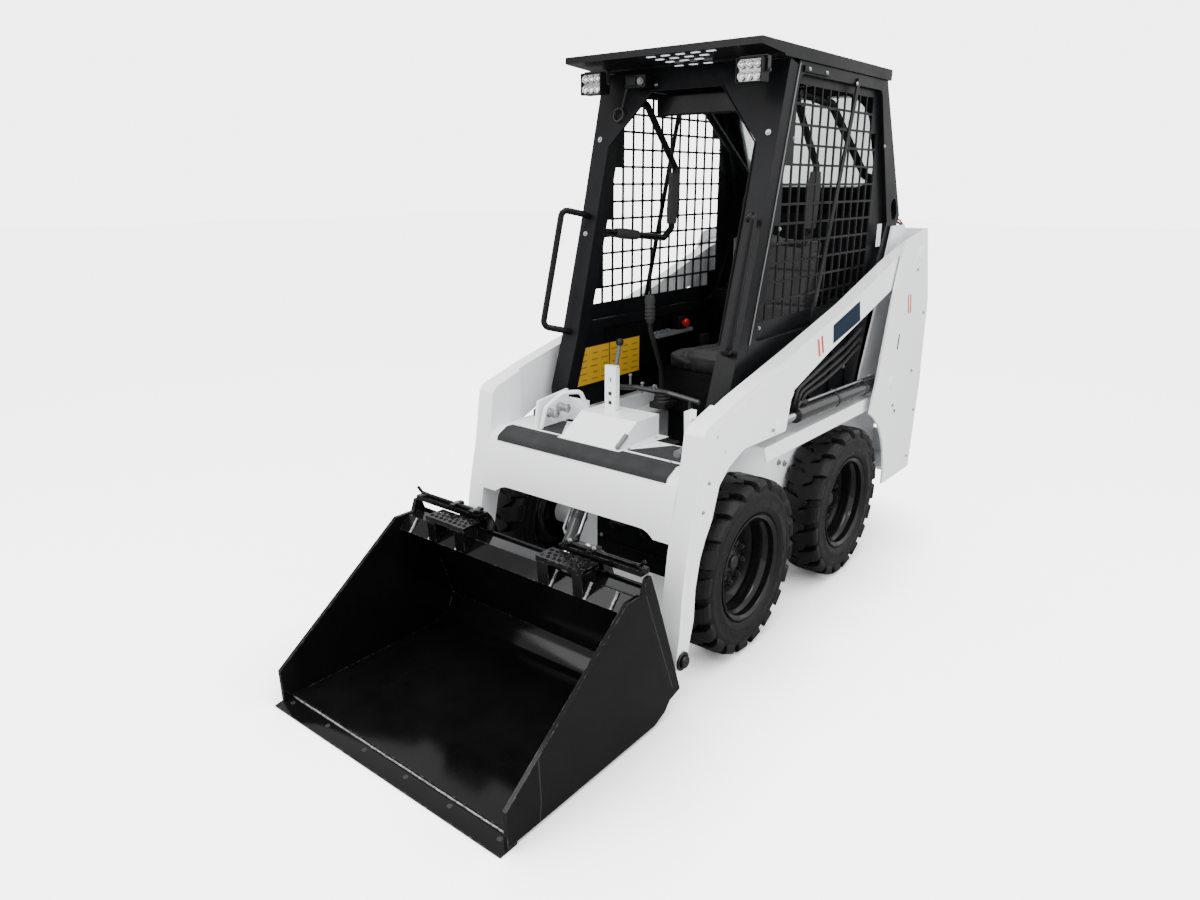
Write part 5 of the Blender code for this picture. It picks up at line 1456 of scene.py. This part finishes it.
def makeLiftLine(side):
    # Steel line clamped on the lift barrel, with its unions and the short hose to the gland.
    name = sideName(side)
    base, along = Vector((-0.925, 0, 0.690)), Vector((0.99967, 0, 0.02577))
    up = Vector((-0.02577, 0, 0.99967))
    across = Vector((0, side * 0.410, 0))

    def at(distance, lift, out=0.0):
        return base + along * distance + up * lift + across + Vector((0, side * out, 0))

    bm = bmesh.new()
    addTube(bm, softPath([at(0.050, 0.024), at(0.050, 0.0345), at(0.690, 0.0345)], 0.007), 0.0050, 12)
    finishPiece(f"{name}LiftLine", bm, "steelBar", f"{name}_lift_barrel")
    bm = bmesh.new()
    addRod(bm, at(0.675, 0.0345), at(0.705, 0.0345), 0.0080, 6)
    for distance in (0.20, 0.45):
        addRod(bm, at(distance - 0.008, 0.0), at(distance + 0.008, 0.0), 0.0262, 32)
        addTube(bm, [at(distance, 0.024), at(distance, 0.0390)], 0.0060, 12)
    finishPiece(f"{name}LiftClamps", bm, "blackBolt", f"{name}_lift_barrel", bevel=0.0006)
    bm = bmesh.new()
    addTube(bm, softPath([at(0.702, 0.0345), at(0.722, 0.0385), at(0.740, 0.0345), at(0.736, 0.0240)], 0.010), 0.0062,
            12, 0.05)
    finishPiece(f"{name}LiftHose", bm, "hoseRubber", f"{name}_lift_barrel")
    bm = bmesh.new()
    for point, axis in ((at(0.0, 0.0, 0.0242), (0, side, 0)),):
        addTurned(bm, [(0.0202, 0.0), (0.0270, 0.0), (0.0270, 0.0035), (0.0202, 0.0035)], point, axis, 28)
    finishPiece(f"{name}LiftWasher", bm, "zincBolt", f"{name}_lift_barrel")


def makeFrontGuard():
    # black guard, valve block and hoses on the front of the belly, under the deck
    bm = bmesh.new()
    addPrism(bm, [(-0.150, 0.172), (0.296, 0.172), (0.296, 0.372), (0.250, 0.392), (0.170, 0.430), (0.060, 0.432),
                  (-0.150, 0.400)],
             0.1606, 0.1660, "X")
    addBox(bm, (0.1655, -0.140, 0.225), (0.1760, 0.290, 0.240))
    addBox(bm, (0.1655, 0.240, 0.240), (0.1750, 0.250, 0.380))
    finishPiece("frontGuard", bm, "cabBlack", "chassis", bevel=0.0012)
    bm = bmesh.new()
    addBox(bm, (0.1665, 0.070, 0.385), (0.2020, 0.150, 0.470))
    addBox(bm, (0.1665, 0.085, 0.470), (0.1930, 0.135, 0.490))
    for y in (0.092, 0.128):
        addRod(bm, (0.2020, y, 0.445), (0.2120, y, 0.445), 0.0100, 6)
        addRod(bm, (0.2020, y, 0.410), (0.2120, y, 0.410), 0.0100, 6)
    finishPiece("valveBlock", bm, "cylinderBlack", "chassis", bevel=0.0015)
    bm = bmesh.new()
    for y, z, far in ((0.092, 0.445, 0.060), (0.128, 0.445, 0.205), (0.092, 0.410, -0.070), (0.128, 0.410, 0.260)):
        path = [(0.205, y, z), (0.222, y, z), (0.226, (y + far) / 2, z - 0.060), (0.190, far, 0.330),
                (0.1700, far, 0.300)]
        addTube(bm, softPath(path, 0.020), 0.0075, 12, 0.04)
    finishPiece("beltHoses", bm, "hoseRubber", "chassis")
    bm = bmesh.new()
    for y, z in ((-0.130, 0.385), (-0.130, 0.255), (0.280, 0.255), (0.280, 0.350), (0.200, 0.390)):
        addBolt(bm, (0.1660, y, z), (1, 0, 0), 0.010, True)
    finishPiece("frontGuardBolts", bm, "zincBolt", "chassis")


def makeTiltLines():
    base = Vector((0.2935, 0, 0.681))
    along = (Vector((0.540, 0, 0.281)) - base).normalized()
    up = Vector((-along.z, 0, along.x))
    bm = bmesh.new()
    for side in (1, -1):
        def at(distance, lift, out):
            return base + along * distance + up * lift + Vector((0, side * out, 0))
        addTube(bm, softPath([at(0.095, 0.010, 0.020), at(0.095, 0.014, 0.0310), at(0.330, 0.014, 0.0310),
                              at(0.345, 0.010, 0.020)], 0.006), 0.0048, 10)
    finishPiece("tiltLines", bm, "steelBar", "tilt_barrel")
    bm = bmesh.new()
    for distance in (0.15, 0.28):
        addRod(bm, base + along * (distance - 0.008), base + along * (distance + 0.008), 0.0256, 28)
    finishPiece("tiltClamps", bm, "blackBolt", "tilt_barrel", bevel=0.0006)


makeDeck()
makeArms()
makeTiltLines()
makeFrontGuard()
print("deck and arms made")


# uprights, rear and engine bay
rear = {
    "outerY": 0.450, "doorRear": -1.252, "slotLow": 0.660, "slotStep": 0.034, "tubSide": 0.298,
    "tubBolts": ((-0.300, 0.490), (-0.345, 0.475), (-0.420, 0.250), (0.020, 0.500)),
    # what shows between arm and fender: ribs and bolts on the cab's foot, and three hoses
    "footFace": 0.3456, "ribFace": 0.3520, "ribX": (-0.700, -0.560, -0.400),
    "footBolts": ((-0.680, 0.780), (-0.540, 0.900), (-0.380, 0.820), (-0.600, 0.700)),
    "hoseOffsets": ((0.0, 0.0), (0.030, 0.030), (0.055, 0.062)), "hoseRadius": 0.0075,
}


def makeUprights():
    for side in (1, -1):
        name = sideName(side)
        y = side * rear["outerY"]
        x, z = arm["pivot"]
        bm = bmesh.new()
        addTurned(bm, [(0.0, 0.0003), (0.0270, 0.0003), (0.0270, 0.0042), (0.0245, 0.0064), (0.0, 0.0064)], (x, y, z),
                  (0, side, 0), 36)
        addTurned(bm, [(0.0, 0.0003), (0.0250, 0.0003), (0.0250, 0.0042), (0.0225, 0.0064), (0.0, 0.0064)],
                  (-0.925, y, 0.690), (0, side, 0), 36)
        finishPiece(f"{name}PivotCaps", bm, "bodyWhite", "chassis")
        # black sheets in the shape of a slot and a round hole on the upright: painted shade in place of the openings
        bm = bmesh.new()
        low, high = sorted((y + side * 0.0003, y + side * 0.0007))
        addPrism(bm, slotShape((-0.952, 0.845), 0.062, 0.012, math.radians(98)), low, high)
        addPrism(bm, roundShape((-0.990, 0.560), 0.008), low, high)
        finishPiece(f"{name}UprightSlots", bm, "blackBolt", "chassis")
        bm = bmesh.new()
        for px, pz in ((-1.080, 1.110), (-1.205, 0.930), (-1.215, 0.520), (-1.195, 0.320), (-0.960, 0.590),
                       (-1.140, 0.700)):
            addBolt(bm, (px, y + side * 0.0003, pz), (0, side, 0), 0.009, True, 0.0042)
        finishPiece(f"{name}UprightBolts", bm, "zincBolt", "chassis")
        bm = bmesh.new()
        for shift in (0.0, 0.024):
            addPrism(bm, [(-1.060 + shift, 0.945), (-1.048 + shift, 0.945), (-1.028 + shift, 1.020),
                          (-1.040 + shift, 1.020)], low, high)
        finishPiece(f"{name}UprightStripe", bm, "labelOrange", "chassis", bevel=0.0001)
        # tail lamp on the sloping back
        bm = bmesh.new()
        slope = Vector((-1.150 + 1.249, 0, 1.264 - 0.975)).normalized()
        out = Vector((-slope.z, 0, slope.x))
        middle = Vector((-1.249, side * 0.402, 0.975)) + slope * 0.115
        corners = []
        for a, b in ((-1, -1), (1, -1), (1, 1), (-1, 1)):
            corners.append(middle + slope * 0.038 * a + Vector((0, 0.022 * b, 0)))
        low = [bm.verts.new(c + out * 0.0006) for c in corners]
        high = [bm.verts.new(c + out * 0.0120) for c in corners]
        bm.faces.new(low)
        bm.faces.new(high)
        for index in range(4):
            after = (index + 1) % 4
            bm.faces.new((low[index], low[after], high[after], high[index]))
        finishPiece(f"{name}TailLamp", bm, "tailRed", "chassis", bevel=0.005, segments=3)
        bm = bmesh.new()
        for px, pz in rear["tubBolts"]:
            addBolt(bm, (px, side * (rear["tubSide"] + 0.0003), pz), (0, side, 0), 0.016, True, 0.0060)
        finishPiece(f"{name}TubBolts", bm, "zincBolt", "chassis")
        # hoses, ribs and bolts seen between the arm and the fender
        bm = bmesh.new()
        for shift, lift in rear["hoseOffsets"]:
            hose = [(-0.780, side * 0.362, 0.845 + lift), (-0.640, side * 0.364, 0.800 + lift),
                    (-0.480, side * 0.362, 0.760 + lift),
                    (-0.330 + shift, side * 0.362, 0.740 + lift * 0.5), (-0.300 + shift, side * 0.362, 0.680)]
            addTube(bm, softPath(hose, 0.040), rear["hoseRadius"], 12, 0.03)
        finishPiece(f"{name}SideHoses", bm, "hoseRubber", "chassis")
        bm = bmesh.new()
        low, high = sorted((side * rear["footFace"], side * rear["ribFace"]))
        for px in rear["ribX"]:
            addBox(bm, (px - 0.006, low, 0.668), (px + 0.006, high, 0.925))
        addBox(bm, (-0.760, low, 0.664), (-0.250, high, 0.672))
        finishPiece(f"{name}SideRibs", bm, "cabBlack", "chassis", bevel=0.0008)
        bm = bmesh.new()
        for px, pz in rear["footBolts"]:
            addBolt(bm, (px, side * rear["footFace"], pz), (0, side, 0), 0.012, True, 0.0060)
        finishPiece(f"{name}SideBolts", bm, "zincBolt", "chassis")


def makeRearDoor():
    x = rear["doorRear"]
    bm = plateWithHoles(
        [(-0.235, 0.648), (0.235, 0.648), (0.235, 0.895), (-0.235, 0.895)],
        [[(-0.225 + c * 0.0182, 0.655 + r * 0.0168), (-0.225 + c * 0.0182 + 0.0150, 0.655 + r * 0.0168),
          (-0.225 + c * 0.0182 + 0.0150, 0.655 + r * 0.0168 + 0.0136),
          (-0.225 + c * 0.0182, 0.655 + r * 0.0168 + 0.0136)]
         for c in range(25) for r in range(14)], x + 0.0090, x + 0.0105, "X")
    finishPiece("doorMesh", bm, "cabBlack", "rear_door")
    bm = bmesh.new()
    for row in range(7):
        z = rear["slotLow"] + rear["slotStep"] * row + 0.016
        addPrism(bm, [(x - 0.0003, z + 0.003), (x - 0.0065, z - 0.009), (x - 0.0052, z - 0.0100),
                      (x - 0.0003, z + 0.0005)], -0.224, 0.224)
    finishPiece("doorLouvres", bm, "bodyWhite", "rear_door", bevel=0.0005)
    bm = bmesh.new()
    addBox(bm, (x - 0.0035, 0.262, 0.665), (x - 0.0003, 0.300, 0.745))
    addBox(bm, (x - 0.0080, 0.270, 0.690), (x - 0.0035, 0.292, 0.738))
    addRod(bm, (x - 0.0060, 0.281, 0.677), (x - 0.0003, 0.281, 0.677), 0.0075, 20)
    finishPiece("doorLatch", bm, "blackBolt", "rear_door", bevel=0.001)
    bm = bmesh.new()
    for y, z in ((-0.285, 0.465), (0.285, 0.465), (-0.285, 0.915), (0.285, 0.915), (0.0, 0.465), (0.0, 0.915)):
        addBolt(bm, (x - 0.0003, y, z), (-1, 0, 0), 0.008, True, 0.0040)
    finishPiece("doorBolts", bm, "zincBolt", "rear_door")
    bm = bmesh.new()
    for edge in (((-0.300, 0.445), (0.300, 0.445)), ((-0.300, 0.930), (0.300, 0.930)),
                 ((-0.307, 0.450), (-0.307, 0.925)), ((0.307, 0.450), (0.307, 0.925))):
        addTube(bm, [(x - 0.0006, *edge[0]), (x - 0.0006, *edge[1])], 0.0028, 8)
    finishPiece("doorRib", bm, "bodyWhite", "rear_door")
    # bumper bolts and towing eye
    bm = bmesh.new()
    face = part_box("rear_bumper")[0][0]
    for y in (-0.270, -0.150, 0.150, 0.270):
        for z in (0.300, 0.380):
            addBolt(bm, (face - 0.0003, y, z), (-1, 0, 0), 0.014, True, 0.0065)
    finishPiece("bumperBolts", bm, "zincBolt", "chassis")
    bm = bmesh.new()
    addTube(bm, softPath([(face, -0.035, 0.340), (face - 0.026, -0.035, 0.340), (face - 0.026, 0.035, 0.340),
                          (face, 0.035, 0.340)], 0.016), 0.0075, 14)
    addBox(bm, (face - 0.0050, -0.055, 0.318), (face - 0.0003, 0.055, 0.362))
    finishPiece("towingEye", bm, "blackBolt", "chassis", bevel=0.001)


def makeEngineBay():
    hoodLow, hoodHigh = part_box("engine_hood")
    bm = bmesh.new()
    addBox(bm, (-1.196, -0.300, 0.612), (-1.172, 0.300, 0.920))
    for index in range(46):
        y = -0.295 + index * 0.0131
        addBox(bm, (-1.1985, y - 0.0008, 0.618), (-1.1955, y + 0.0008, 0.915))
    finishPiece("radiatorCore", bm, "cylinderBlack", "chassis")
    bm = bmesh.new()
    for index in range(9):
        x = hoodLow[0] + 0.070 + index * 0.0155
        addPrism(bm, [(x, hoodHigh[2] + 0.0003), (x + 0.010, hoodHigh[2] + 0.0003),
                      (x + 0.0100, hoodHigh[2] + 0.0052), (x + 0.0085, hoodHigh[2] + 0.0058)],
                 -0.150, 0.150)
    finishPiece("hoodLouvres", bm, "bodyWhite", "chassis", bevel=0.0004)
    bm = bmesh.new()
    spotX = hoodLow[0] + 0.055
    addTurned(bm, [(0.0, 0.0003), (0.032, 0.0003), (0.034, 0.004), (0.034, 0.018), (0.030, 0.022), (0.0, 0.023)],
              (spotX + 0.06, 0.245, hoodHigh[2]), (0, 0, 1), 40)
    for step in range(20):
        turn = 2 * math.pi * step / 20
        place = Vector((spotX + 0.06 + 0.0338 * math.cos(turn), 0.245 + 0.0338 * math.sin(turn), hoodHigh[2] + 0.011))
        addRod(bm, place - Vector((0, 0, 0.006)), place + Vector((0, 0, 0.006)), 0.0018, 8)
    finishPiece("fuelCap", bm, "blackBolt", "chassis")
    bm = bmesh.new()
    for x in (hoodLow[0] + 0.03, hoodHigh[0] - 0.03):
        for y in (-0.28, 0.28):
            addBolt(bm, (x, y, hoodHigh[2] + 0.0003), (0, 0, 1), 0.009, True)
    finishPiece("hoodBolts", bm, "zincBolt", "chassis")
    # engine details seen between the arm and the fender: bolts and ribs on the block's sides
    engineLow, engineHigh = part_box("engine_block")
    bm = bmesh.new()
    for side in (1, -1):
        y = side * (engineHigh[1] + 0.0004) if side > 0 else engineLow[1] - 0.0004
        for index in range(5):
            x = engineLow[0] + 0.05 + index * (engineHigh[0] - engineLow[0] - 0.1) / 4
            addBolt(bm, (x, y, engineHigh[2] - 0.03), (0, side, 0), 0.014, True)
            addBox(bm, (x - 0.010, min(y, y + side * 0.012), engineLow[2] + 0.04),
                   (x + 0.010, max(y, y + side * 0.012), engineHigh[2] - 0.06))
    finishPiece("engineRibs", bm, "engineMetal", "chassis", bevel=0.002)
    # belly plate plugs
    bm = bmesh.new()
    for x in (-0.95, -0.60, -0.25, 0.05):
        for y in (-0.12, 0.12):
            addBolt(bm, (x, y, 0.1347), (0, 0, -1), 0.014, True, 0.006)
    finishPiece("bellyBolts", bm, "zincBolt", "chassis")
    # short battery cable between cab and upright
    bm = bmesh.new()
    addTube(bm, softPath([(-1.075, 0.318, 1.290), (-1.105, 0.322, 1.302), (-1.140, 0.340, 1.292),
                          (-1.148, 0.354, 1.268)], 0.014), 0.0038, 10)
    finishPiece("harnessRed", bm, "tailRed", "chassis")
    bm = bmesh.new()
    addTube(bm, softPath([(-1.070, 0.310, 1.278), (-1.100, 0.316, 1.290), (-1.132, 0.336, 1.284),
                          (-1.140, 0.356, 1.266)], 0.014), 0.0045, 10)
    finishPiece("harnessBlack", bm, "hoseRubber", "chassis")


makeUprights()
makeRearDoor()
makeEngineBay()
print("rear made")


# bucket, steps and latch levers
bucket = {"inner": 0.4445, "edgeX": 1.2215, "edgeBolts": (-0.420, -0.250, -0.085, 0.085, 0.250, 0.420),
          "weld": 0.0044}


def makeBucket():
    low = 0.0095
    inside = [(1.204, low), (0.690, low + 0.0010), (0.642, 0.0215), (0.603, 0.051), (0.5795, 0.101), (0.6735, 0.395)]
    for side in (1, -1):
        bm = bmesh.new()
        path = softPath([(x + 0.001, side * bucket["inner"], z) for x, z in inside], 0.02, 4)
        fine = []
        for start, end in zip(path, path[1:]):
            steps = max(1, int((end - start).length / 0.006))
            fine += [start.lerp(end, step / steps) for step in range(steps)]
        fine = [p + Vector((0, 0, random.uniform(-0.0004, 0.0004))) for p in fine + [path[-1]]]
        addTube(bm, fine, bucket["weld"], 8, 0.22)
        finishPiece(f"{sideName(side)}CornerWeld", bm, "weldMetal", "bucket")
    bm = bmesh.new()
    line = []
    for step in range(150):
        y = -0.444 + 0.888 * step / 149
        line.append((1.2055 + random.uniform(-0.0006, 0.0006), y, 0.0092))
    addTube(bm, line, 0.0032, 8, 0.22)
    finishPiece("edgeWeld", bm, "weldMetal", "bucket")
    bm = bmesh.new()
    for y in bucket["edgeBolts"]:
        addTurned(bm, [(0.0, 0.0), (0.0078, 0.0), (0.0074, 0.0012), (0.0040, 0.0016), (0.0, 0.0006)],
                  (bucket["edgeX"] + 0.004, y, 0.0076), (0.12, 0, 1), 24)
    finishPiece("edgeBolts", bm, "hoseRubber", "bucket")
    bm = bmesh.new()
    addTube(bm, [(0.6900, -0.440, 0.4398), (0.6900, 0.440, 0.4398)], 0.0042, 12)
    finishPiece("lipBar", bm, "bucketBlack", "bucket")
    for side in (1, -1):
        # seams of the doubler plates at the front corner and along the back
        bm = bmesh.new()
        low, high = sorted((side * 0.4569, side * 0.4571))
        for line in (((1.128, 0.014), (1.122, 0.060), (1.128, 0.185)),
                     ((0.716, 0.432), (0.628, 0.208), (0.580, 0.090))):
            for first, second in zip(line, line[1:]):
                addPrism(bm, [first, second, (second[0] + 0.0035, second[1]), (first[0] + 0.0035, first[1])], low,
                         high)
        finishPiece(f"{sideName(side)}SideSeams", bm, "cylinderBlack", "bucket")
        # gusset and seam beads near the lip's ends
        bm = bmesh.new()
        for y in (0.188, 0.308, 0.395):
            foot = [(0.7865, side * y, 0.3990), (0.7715, side * y, 0.4170), (0.7560, side * y, 0.4370)]
            fine = []
            path = softPath(foot, 0.004)
            for first, second in zip(path, path[1:]):
                fine += [first.lerp(second, step / 3) for step in range(3)]
            addTube(bm, fine + [path[-1]], 0.0050, 8, 0.24)
        finishPiece(f"{sideName(side)}FootWelds", bm, "weldMetal", "bucket")
        makeStep(side)
        makeLever(side)


def makeStep(side):
    name = sideName(side)
    x0, x1, y0, y1, top = 0.7245, 0.7930, 0.1430, 0.3070, 0.4810
    outline = [(x0, side * y0), (x1, side * y0), (x1, side * y1), (x0, side * y1)]
    holes = []
    for row in range(3):
        count = 8 if row % 2 == 0 else 7
        for index in range(count):
            y = y0 + 0.012 + (0.020 * index) + (0.010 if row % 2 else 0.0)
            holes.append(slotShape((x0 + 0.0155 + row * 0.0187, side * y), 0.0145, 0.0090, 0.0, 3))
    bm = plateWithHoles(outline, holes, top - 0.0035, top - 0.0006, "Z")
    for x in (x0 + 0.0015, x1 - 0.0015):
        addBox(bm, (x - 0.0015, min(side * y0, side * y1), 0.4665),
               (x + 0.0015, max(side * y0, side * y1), top - 0.0008))
    for hole in holes:
        centre = Vector((sum(p[0] for p in hole) / len(hole), sum(p[1] for p in hole) / len(hole), top - 0.0006))
        ring = [(0.0052, 0.0), (0.0066, 0.0), (0.0060, 0.0016), (0.0052, 0.0016)]
        addTurned(bm, ring, centre, (0, 0, 1), 12)
    footOutline = [(0.7875, 0.3990), (0.7925, 0.4675), (0.7300, 0.4675), (0.7380, 0.4366), (0.7533, 0.4366)]
    for near, far in ((0.145, 0.186), (0.270, 0.305)):
        addPrism(bm, footOutline, *sorted((side * near, side * far)))
    finishPiece(f"{name}StepPlate", bm, "bucketBlack", "bucket", [f"{name}_step"], bevel=0.0006)


def makeLever(side):
    name = sideName(side)
    bm = bmesh.new()
    bar = [(0.700, side * 0.166, 0.4975), (0.700, side * 0.400, 0.4975), (0.703, side * 0.428, 0.5010),
           (0.707, side * 0.443, 0.5180)]
    addTube(bm, softPath(bar, 0.010), 0.0052, 12)
    addBox(bm, (0.676, min(side * 0.176, side * 0.196), 0.4932), (0.722, max(side * 0.176, side * 0.196), 0.5030))
    addBox(bm, (0.676, min(side * 0.262, side * 0.280), 0.4932), (0.722, max(side * 0.262, side * 0.280), 0.5030))
    finishPiece(f"{name}LeverBar", bm, "bucketBlack", "bucket", bevel=0.0010)
    bm = bmesh.new()
    for y in (0.186, 0.271):
        addBolt(bm, (0.700, side * y, 0.5030), (0, 0, 1), 0.009, True, 0.0045)
    addRod(bm, (0.676, side * 0.225, 0.4850), (0.668, side * 0.225, 0.4870), 0.0085, 20)
    finishPiece(f"{name}LeverBolts", bm, "zincBolt", "bucket")


makeBucket()
print("bucket made")
